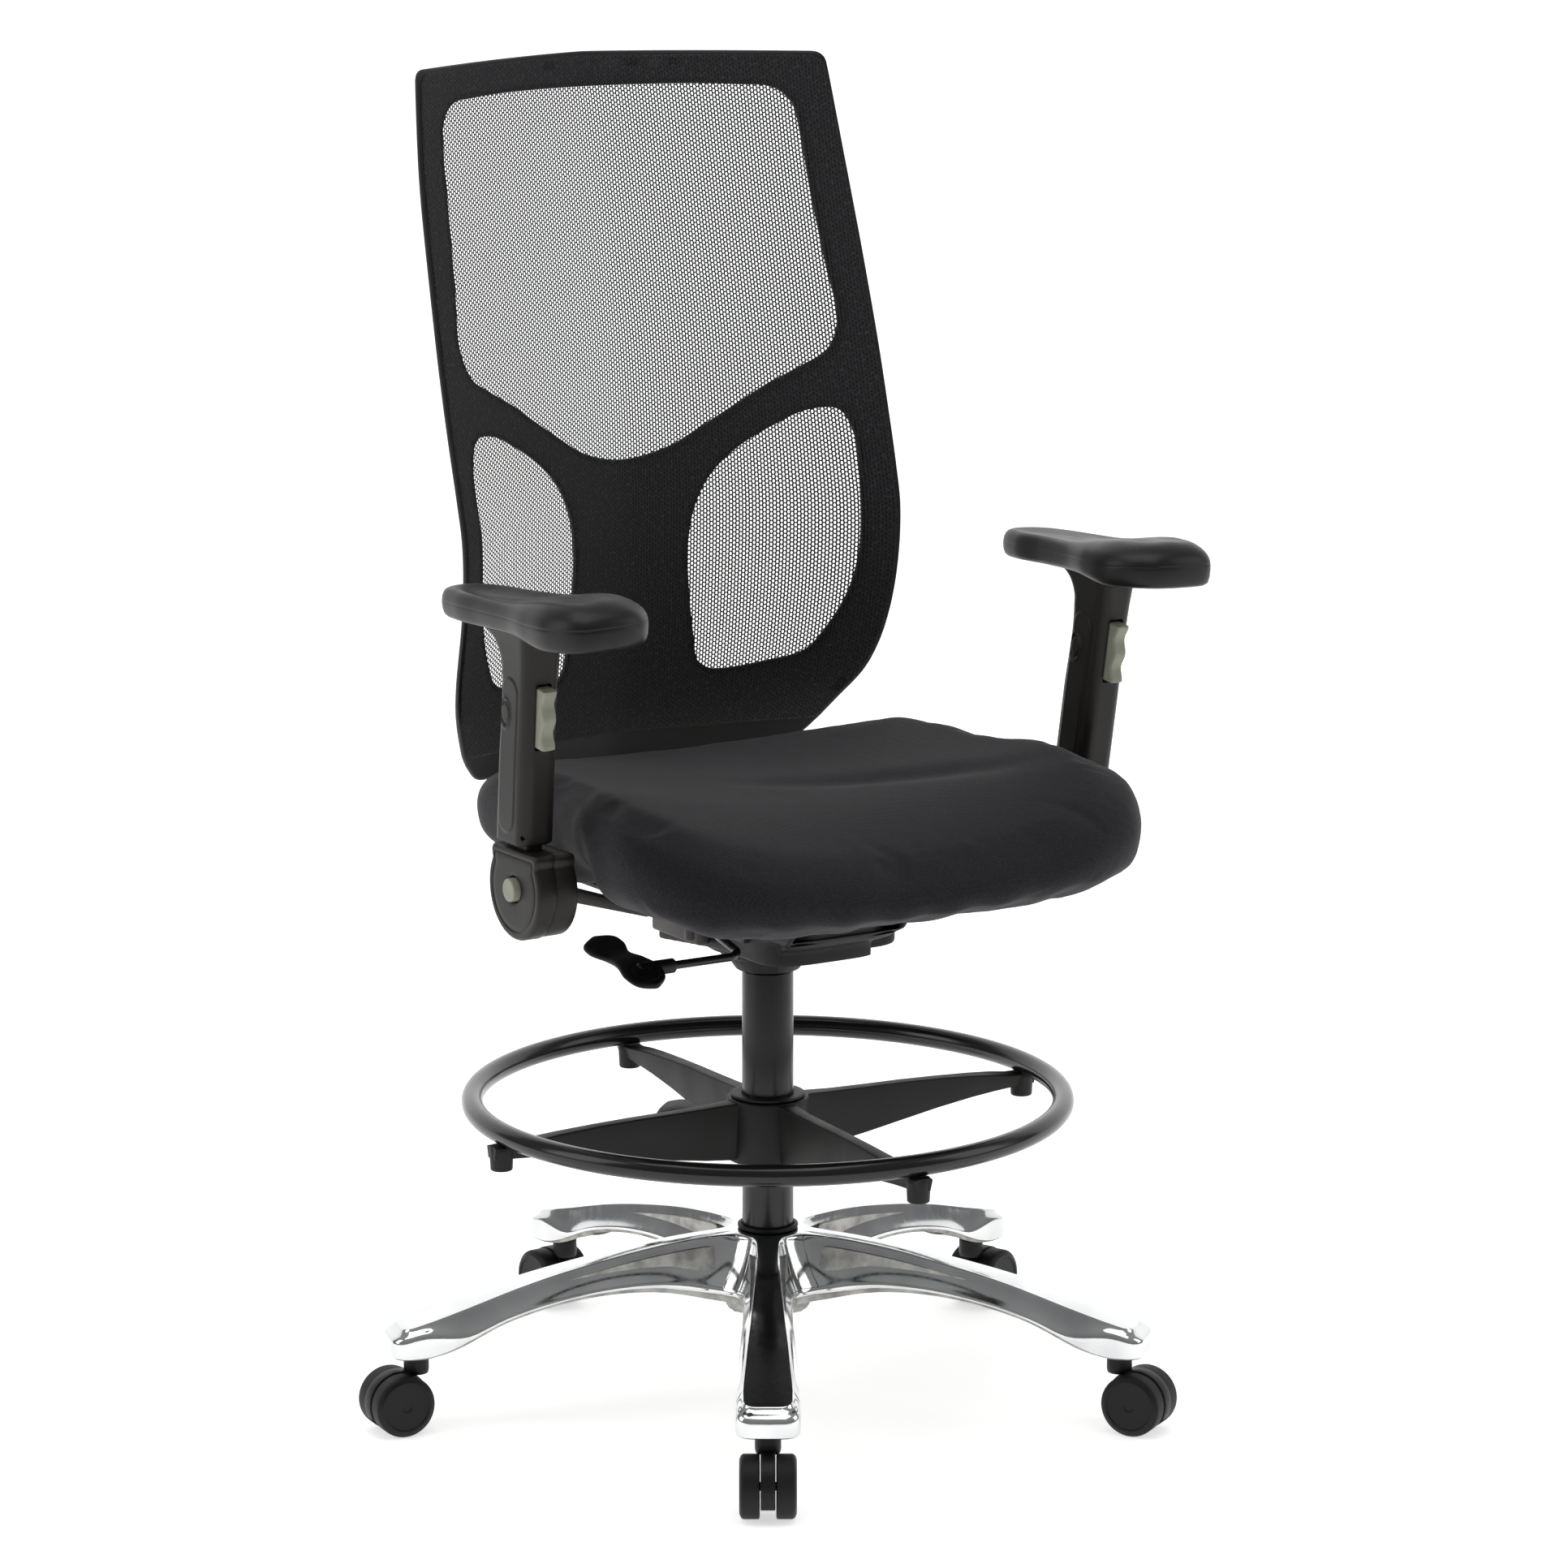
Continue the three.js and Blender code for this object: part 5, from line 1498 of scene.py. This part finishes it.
def outer_shell():
    face = OUTER
    steps = [("flat", 1.2, SPLIT + 0.3, 1), ("flat", 0.4, SPLIT + 0.4, 1), ("flat", 0, SPLIT + 0.9, 1),
             ("flat", 0, SPLIT + 6, 0.4)]
    for k in range(7):
        angle = k / 6 * math.pi / 2
        steps.append(("flat", 4.2 * (1 - math.cos(angle)), face - 4.2 * (1 - math.sin(angle)), 0))
    steps += [("flat", 7.0, face + 0.1, 0), ("flat", 7.6, face - 0.1, 0), ("flat", 8.1, face - 0.8, 0),
              ("flat", 8.9, face - 0.8, 0), ("flat", 9.5, face - 0.1, 0), ("flat", 10.2, face + 0.1, 0),
              ("flat", 15, face + 0.3, 0), ("round", 17, face + 0.3, 0), ("round", 14.2, face + 0.2, 0),
              ("round", 13.2, face - 0.4, 0), ("round", 12.4, face - 1.4, 0), ("round", 12.2, face - 9.6, 0),
              ("round", 2, face - 9.6, 0)]
    return shell(knuckle_outline(), steps)


def inner_shell():
    steps = [("flat", 3.2, INNER, 0), ("flat", 1.9, INNER + 0.3, 0), ("flat", 1.3, INNER + 1.2, 0),
             ("flat", 1.1, INNER + 8, 0.4), ("flat", 1.1, SPLIT - 0.8, 1), ("flat", 1.5, SPLIT - 0.2, 1),
             ("flat", 2.4, SPLIT, 1)]
    return shell(knuckle_outline(), steps)


def box_ring(wide, deep, radius, count, y=0.0):
    """An upright rounded rectangle seen from above, listed from the middle of the outer side."""
    half_x, half_y = wide / 2, deep / 2
    line = [[half_x, 0], [half_x, half_y], [-half_x, half_y], [-half_x, -half_y], [half_x, -half_y]]
    return spaced(rounded(line, [0, radius, radius, radius, radius], True, 10), count, True) + [0, y]


# %% Sleeve
SLEEVE_WIDER = [[43.5, 0], [120, 0], [206, 0], [220, 1], [231, 3], [238, 6]]
SLEEVE_DEEPER = [[43.5, 0], [120, 0], [206, 0], [218, 2], [229, 10], [238, 26]]


def capsule(y, z, middle, low, high, radius):
    """Distance outside a round-ended upright bar; negative inside it."""
    return np.hypot(y - middle, z - np.clip(z, low, high)) - radius


def sleeve_face(y, z):
    """How far the outer and inner faces of the sleeve stand out from the plain moulding, in mm."""
    panel = 0.9 * (1 - step_up(capsule(y, z, 2, 68, 190, 13.5), -0.9, 0.9))
    oval = np.hypot((y - 8) / 7.0, (z - 168) / 11.0)
    rim = 0.8 * np.exp(-(((oval - 1.25) / 0.16) ** 2)) - 1.0 * np.exp(-(((oval - 1.0) / 0.12) ** 2))
    return panel + rim + 0.5 * (1 - step_up(oval, 0.75, 0.95))


def pad_floor(y):
    """Height of the pad's underside plane over the post frame, at y."""
    return 247 - (y - 6) * math.tan(math.radians(10.5))


def arm_sleeve(side):
    count, rows = 176, 150
    rings = []
    for z in np.linspace(43.5, 238, rows):
        wider, deeper = float(along(SLEEVE_WIDER, z)), float(along(SLEEVE_DEEPER, z))
        low_round = 2.4 * (1 - math.sqrt(max(0, 1 - (1 - min(1, (z - 43.5) / 2.4)) ** 2)))
        ring = box_ring(38 + wider - 2 * low_round, 54 + deeper - 2 * low_round, 12 - low_round, count,
                        deeper * 0.45)
        flat = step_up(np.abs(ring[:, 0]), 0.7 * (19 + wider / 2), 0.95 * (19 + wider / 2))
        stand = sleeve_face(ring[:, 1], z) * flat * (1 - low_round / 2.4) * np.sign(ring[:, 0])
        hole = np.hypot(np.hypot(ring[:, 0] - 15.6, ring[:, 1] + 23.4), z - 53)
        pull = 2.2 * (1 - step_up(hole, 1.4, 2.2))
        ring = ring + np.column_stack([stand - pull, pull])
        top = step_up(z, 224, 238)
        level = 1 - step_up(z, 43.5, 90)
        height = z + top * (pad_floor(ring[:, 1]) - 238.8) - level * ring[:, 1] * math.tan(math.radians(7))
        rings.append(np.column_stack([ring, height]))
    return piece(f"sleeve_{side}", *on_post(skin(rings), side), ARM_NYLON, angle=40)


def slot_tool(side):
    """What the height lever's slot and the post's bore take away."""
    opening = rounded([[-8, 140], [8, 140], [8, 204], [-8, 204]], 2.5, True, 5)
    points, faces = plate(opening, 21, 45, 0.01)
    upright = Matrix(((1, 0, 0, 0), (0, 0, -1, 0), (0, 1, 0, 0), (0, 0, 0, 1)))
    return piece("slot_tool", *on_post(moved((points, faces), upright), side))


def bore_tool(side):
    ring = box_ring(18.6, 40.6, 4, 64)
    rings = [np.column_stack([ring, np.full(64, z)]) for z in (30, 212)]
    return piece("bore_tool", *on_post(skin(rings), side))


# %% Lever, post and button
def height_lever(side):
    rings = []
    rows = 72
    for k in range(rows):
        z = 143.2 + 57.6 * k / (rows - 1)
        end = min(z - 143.2, 200.8 - z)
        tuck = 1.4 * (1 - math.sqrt(max(0, 1 - (1 - min(1, end / 1.4)) ** 2)))
        front = -38 - 2.1 * math.cos((z - 144) / 56 * 4 * math.pi) + tuck
        line = [[7.2 - tuck, -24], [7.2 - tuck, front + 1.6], [5.6 - tuck, front], [-5.6 + tuck, front],
                [-7.2 + tuck, front + 1.6], [-7.2 + tuck, -24]]
        ring = spaced(rounded(line, 0.9, True, 4), 56, True)
        rings.append(np.column_stack([ring, np.full(56, z)]))
    return on_post(skin(rings), side)


def arm_post(side):
    rings = [np.column_stack([box_ring(18, 40, 4, 72), np.full(72, z)]) for z in (34, 60, 120, 190)]
    return on_post(skin(rings), side)


def flip_button(side):
    profile = [[0, -5], [10.4, -5], [11, -4.4], [11, 4.6], [10.7, 5.4], [10, 5.9], [9, 6], [5, 5.6], [0, 5.4]]
    points, faces = moved(lathe(profile, 56), shift(OUTER, *PIVOT[1:]) @ ALONG_X)
    return on_side((points, faces), side)


# %% Pad
PAD_HALF = 146.0
PAD_OUTLINE = [
    [0, -146], [28, -140], [43, -108], [42, -62], [34, -14], [30, 46], [27, 98], [16, 138], [0, 146],
    [-18, 139],
    [-32, 102], [-36, 52], [-46, -8], [-60, -56], [-62, -104], [-38, -139],
]
PAD_SECTION = [
    # (share of the outline, height)
    [0.30, 0.4], [0.80, 0.2], [0.90, 0.8], [0.96, 3], [0.99, 7], [1.0, 11], [1.0, 14.6], [0.996, 15.0],
    [0.992, 15.2], [0.996, 15.5], [0.985, 19], [0.95, 23], [0.90, 25.6], [0.83, 27.0], [0.75, 27.2],
    [0.6, 26.2],
    [0.45, 25.4], [0.25, 25.0], [0.08, 24.9],
]


def arm_pad(side):
    """A kidney seen from above, thicker at its wide front end, with a shallow dish whose crest runs in an S."""
    outline = counter_clockwise(flowing(PAD_OUTLINE, 168, True))
    section = []
    for (low_share, low), (high_share, high) in zip(PAD_SECTION, PAD_SECTION[1:]):
        steps = 2 if high - low > 2 or abs(high_share - low_share) > 0.06 else 1
        section += [[low_share + (high_share - low_share) * k / steps, low + (high - low) * k / steps]
                    for k in range(steps)]
    section.append(PAD_SECTION[-1])
    rings = []
    for share, z in section:
        x = outline[:, 0] * share
        y = outline[:, 1] * (PAD_HALF - (1 - share) * 60) / PAD_HALF
        front = 1 - step_up(y, -100, -30)
        dome = 10 * (1 - step_up(y, -90, 20)) * (1 - step_up(share, 0.55, 1.0))
        rise = step_up(z, 18, 26)
        crest = 1.5 * np.exp(-(((x - 12 * np.sin(math.pi * y / PAD_HALF)) / 11) ** 2)) * rise
        height = z + crest * step_up(PAD_HALF - np.abs(y), 8, 40) - 6.5 * front * (1 - step_up(z, 2, 16))
        height = height + dome * step_up(z, 15, 25)
        rings.append(np.column_stack([x, y, height]))
    place = shift(0, 6, 247) @ turn(-10.5, "X")
    return on_post(moved(skin(rings), place @ shift(-POST_OUT, 0, 0)), side)


# %% [markdown]
# The steel bars and plates are simple cut and bent shapes, which their CAD solids already give. They only
# need the small radius that pressing and tumbling leave on every edge. One helper copies such a
# solid, merges its triangles into flat faces, and rounds its edges.

# %% Refined copies of CAD solids
def refined(node, name, finish, width, angle=35):
    source = bpy.data.objects[node]
    mesh = source.data.copy()
    mesh.transform(source.matrix_world)
    shape = bmesh.new()
    shape.from_mesh(mesh)
    bmesh.ops.remove_doubles(shape, verts=shape.verts, dist=0.01 * MM)
    bmesh.ops.dissolve_limit(shape, angle_limit=math.radians(1.5), verts=shape.verts, edges=shape.edges)
    bmesh.ops.recalc_face_normals(shape, faces=shape.faces)
    shape.to_mesh(mesh)
    shape.free()
    mesh.materials.clear()
    mesh.materials.append(finish)
    mesh.polygons.foreach_set("material_index", [0] * len(mesh.polygons))
    obj = bpy.data.objects.new(name, mesh)
    bpy.context.scene.collection.objects.link(obj)
    return bevelled(obj, width, angle)


# %% Both arms
def arm(side, label):
    arm_body, sleeve_body = f"{label}_arm", f"{label}_sleeve"
    outer = on_side(moved(outer_shell(), shift(0, *PIVOT[1:])), side)
    seat_on(piece(f"{label}_knuckle_outer", *outer, ARM_NYLON, angle=50), arm_body, "black_nylon",
            f"{label}_arm_knuckle_outer")
    inner = on_side(moved(inner_shell(), shift(0, *PIVOT[1:])), side)
    seat_on(piece(f"{label}_knuckle_inner", *inner, ARM_NYLON, angle=50), arm_body, "black_nylon",
            f"{label}_arm_knuckle_inner")
    seat_on(piece(f"{label}_post", *arm_post(side), E_COAT), arm_body, "black_steel", f"{label}_arm_post")
    seat_on(piece(f"{label}_release_button", *flip_button(side), GREY_ABS), f"{label}_flip_button",
            "grey_plastic", f"{label}_flip_button")
    sleeve = carved(arm_sleeve(side), slot_tool(side), bore_tool(side))
    sleeve.name = f"{label}_sleeve_moulding"
    smooth_shading(sleeve.data, 40)
    seat_on(sleeve, sleeve_body, "black_nylon", f"{label}_arm_sleeve")
    seat_on(piece(f"{label}_lever_key", *height_lever(side), GREY_ABS, angle=30), f"{label}_height_lever",
            "grey_plastic", f"{label}_height_lever")
    pad = piece(f"{label}_pad", *arm_pad(side), PAD_SKIN, angle=50)
    seat_on(pad, sleeve_body, "black_polyurethane", f"{label}_arm_pad")
    bar = refined(f"{label}_arm_bracket", f"{label}_bracket_bar", E_COAT, 1.2)
    seat_on(bar, "seat", "black_steel", f"{label}_arm_bracket")
    pin = refined(f"{label}_arm_pivot_pin", f"{label}_pivot_bolt", ZINC, 0.6)
    seat_on(pin, "seat", "zinc_steel", f"{label}_arm_pivot_pin")


arm(1, "left")
arm(-1, "right")

# %% [markdown]
# ## The mechanism under the seat
# The tilt mechanism is a deep moulded cover round a steel box. The plates, pins and bars keep the shape
# of their CAD solids and get rounded edges; the cover gets its ribs; and the wire lever, the coiled spring
# and the knob are drawn again as round bars and turned shapes.

# %% Plates, pins and bars
SHEET_PARTS = [
    # (CAD node, new name, finish, body, slot, edge radius)
    ("seat_plate", "pressed_seat_plate", E_COAT, "seat", "black_steel", 0.8),
    ("seat_pan", "seat_shell", NYLON, "seat", "black_nylon", 2.0),
    ("back_bar", "back_upright", E_COAT, "backrest", "black_steel", 1.8),
    ("tilt_pin", "tilt_axle", E_COAT, "lift", "zinc_steel", 0.6),
    ("recline_pin", "recline_axle", ZINC, "lift", "zinc_steel", 0.6),
]
for node, name, finish, body, slot, width in SHEET_PARTS:
    seat_on(refined(node, name, finish, width), body, slot, node)

# %% Lift lever
LEVER_ROUTE = [
    [-62, -42, 497], [-94, -42, 497], [-102, -48, 495], [-106, -116, 482], [-116, -124, 480],
    [-162, -124, 480],
    [-196, -124, 480],
]
PADDLE = [
    # (place along the blade, width, lift)
    [-62, 14, -12], [-52, 30, -10], [-36, 38, -5], [-14, 30, 0], [10, 26, 1], [32, 38, 5], [46, 32, 8],
    [54, 14, 9],
]


def lever_wire():
    return rod(spaced(rounded(LEVER_ROUTE, 9, False, 10), 90), 4)


def lever_paddle():
    """A twisted blade with a wide lobe at each end and an oval groove in the front one, on a round socket."""
    table = np.array(PADDLE, float)
    rings = []
    for place in np.linspace(-63.5, 55.5, 90):
        wide, lift = float(along(table[:, [0, 1]], place)), float(along(table[:, [0, 2]], place))
        end = min(place + 63.5, 55.5 - place)
        close = math.sqrt(max(0.02, 1 - (1 - min(1, end / 9)) ** 2))
        half, thick = wide / 2 * close, 3.5 * (0.55 + 0.45 * close)
        angle = np.arange(56) / 56 * 2 * math.pi
        x = half * np.sign(np.cos(angle)) * np.abs(np.cos(angle)) ** 0.7
        z = thick * np.sign(np.sin(angle)) * np.abs(np.sin(angle)) ** 0.8
        groove = np.hypot(x / 11.5, (place + 40) / 14.5)
        z = z - 0.9 * np.exp(-(((groove - 1) / 0.1) ** 2)) * (np.sin(angle) > 0)
        roll = math.tan(math.radians(10))
        rings.append(np.column_stack([x, np.full(56, place), z + lift + x * roll]))
    blade = moved(skin(rings), shift(-196 - 22, -124 + 30, 480 + 4))
    socket = rod([[-218, -124, 480], [-200, -124, 480], [-182, -124, 480]], 7, 32)
    return together(blade, socket)


seat_on(piece("lever_wire", *lever_wire(), RING_COAT), "lift_lever", "black_steel", "lift_lever_rod")
seat_on(piece("lever_blade", *lever_paddle(), CASTER_NYLON, angle=50), "lift_lever", "black_nylon",
        "lift_lever_paddle")


# %% Spring and knob
def coiled_spring():
    turns, half = 14, 42.4
    angle = np.linspace(0, turns * 2 * math.pi, turns * 28)
    path = np.column_stack([np.linspace(-half, half, len(angle)), -60 + 13.4 * np.cos(angle),
                            488 + 13.4 * np.sin(angle)])
    return rod(path, 1.5, 10)


def tension_knob():
    """A hand knob with shallow flutes, on a plain shank."""
    angle = np.arange(144) / 144 * 2 * math.pi
    flute = 1 - 0.045 * (0.5 + 0.5 * np.cos(angle * 12)) ** 2
    rings = []
    for radius, place, fluted in [[0.5, 70.2, 0], [16, 70.2, 0], [19.4, 70.8, 1], [20.6, 72.4, 1],
                                  [21, 74, 1],
                                  [21, 87, 1], [20.5, 89.6, 1], [19, 91.3, 1], [16.5, 91.8, 0], [10, 91.2, 0],
                                  [0.5, 91, 0]]:
        share = flute if fluted else np.ones(144)
        rings.append(np.column_stack([radius * share * np.cos(angle), radius * share * np.sin(angle),
                                      np.full(144, place)]))
    knob = moved(skin(rings), shift(0, 24, 486) @ ALONG_X)
    shank = rod([[44.5, 24, 486], [60, 24, 486], [70.5, 24, 486]], 5, 28)
    return together(knob, shank)


seat_on(piece("torsion_spring", *coiled_spring(), ZINC, angle=60), "lift", "zinc_steel", "tension_spring")
seat_on(piece("fluted_knob", *tension_knob(), CASTER_NYLON, angle=40), "tension_knob", "black_nylon",
        "tension_knob")

# %% [markdown]
# Under the seat the cover is not a plain box. Two steps sweep round the column's boss like ripples, a
# wedge-shaped block stands at the front with its flat foot rising to the side, the nose is rounded, and a
# flat case with a round rib is fixed at the rear. These are moulded in one with the cover, so they are
# drawn as rounded solids that sink a little into it.


# %% Ribs and blocks of the cover
def boss_steps():
    """Two rounded collars round the column's boss, each lower one smaller, like ripples."""
    wide = [[30.4, 452], [57, 452.6], [60, 454], [61, 457], [60.6, 470], [30.4, 470], [30.4, 452]]
    small = [[30.4, 444], [44, 444.6], [46.6, 446], [47.6, 449], [47.6, 470], [30.4, 470], [30.4, 444]]
    return together(lathe([[r, z] for r, z in wide], 96), lathe([[r, z] for r, z in small], 96))


def front_block():
    """The wedge at the front: its foot is flat and rises towards the sitter's left."""
    outline = rounded([[-20, -112], [84, -112], [84, -40], [-20, -40]], [10, 16, 10, 6], True, 8)
    outline = counter_clockwise(outline)
    rings = []
    for share, tuck in [(0, 2.2), (0.03, 0.8), (0.08, 0), (0.5, 0), (1, 0)]:
        ring = inset(outline, tuck)
        low = 456 + 0.09 * (ring[:, 0] + 20)
        rings.append(np.column_stack([ring, low + (497 - low) * share]))
    return skin(rings)


def rounded_nose():
    """The round front end of the cover: it swells upwards and forwards to just under the cushion."""
    rings = []
    for height, front, tuck in [(468, -98, 4), (470, -106, 0), (480, -129, 0), (500, -147, 0), (518, -151, 0),
                                (525, -150, 1), (527, -147, 4)]:
        corners = [[-62 + tuck, front], [62 - tuck, front], [62 - tuck, -64], [-62 + tuck, -64]]
        ring = counter_clockwise(spaced(rounded(corners, [36, 36, 4, 4], True, 14), 120, True))
        rings.append(np.column_stack([ring, np.full(len(ring), height)]))
    return skin(rings)


def rear_case():
    """The flat case at the rear left of the sitter's right side, with one round upright rib."""
    case = plate(rounded([[-82, -6], [-67, -6], [-67, 84], [-82, 84]], 5, True, 5), 462, 496, 3)
    rib = rod([[-81, 10, 467], [-81, 10, 480], [-81, 10, 492]], 6, 28)
    return together(case, rib)


# %% One moulding
def tilt_cover():
    """Cover, steps, wedge and nose fused and softened into one moulding. Its lower front corners are
    squeezed from a square plan towards a round one."""
    obj = refined("tilt_housing", "tilt_cover", NYLON, 0.2, 80)
    extra = piece("cover_details", *together(boss_steps(), front_block(), rounded_nose()), NYLON)
    both = bmesh.new()
    both.from_mesh(obj.data)
    both.from_mesh(extra.data)
    both.to_mesh(obj.data)
    both.free()
    bpy.data.objects.remove(extra)
    fuse = obj.modifiers.new("fuse", "REMESH")
    fuse.mode = "VOXEL"
    fuse.voxel_size = 1.6 * MM
    soften = obj.modifiers.new("soften", "SMOOTH")
    soften.factor, soften.iterations = 0.5, 4
    made_plain(obj)
    co = np.array([v.co for v in obj.data.vertices])
    at = (co - AXIS) / MM
    front = np.where(at[:, 2] < 484, -120, -154)
    u, v = np.abs(at[:, 0]) / 66, np.clip((at[:, 1] + 60) / (front + 60), 0, 1.2)
    squeeze = np.maximum(u, v) / np.maximum((u**4 + v**4) ** 0.25, 1e-6)
    squeeze = np.where(at[:, 1] < -60, squeeze, 1)
    low = 1 - step_up(at[:, 2], 480, 490)
    squeeze = 1 + (squeeze - 1) * low
    at[:, 0] *= squeeze
    at[:, 1] = np.where(at[:, 1] < -60, -60 + (at[:, 1] + 60) * squeeze, at[:, 1])
    obj.data.vertices.foreach_set("co", (at * MM + AXIS).ravel())
    obj.data.materials.clear()
    obj.data.materials.append(NYLON)
    smooth_shading(obj.data, 50)
    return obj


seat_on(tilt_cover(), "lift", "black_nylon", "tilt_housing")
seat_on(piece("rear_case", *rear_case(), E_COAT, angle=40), "lift", "black_nylon")
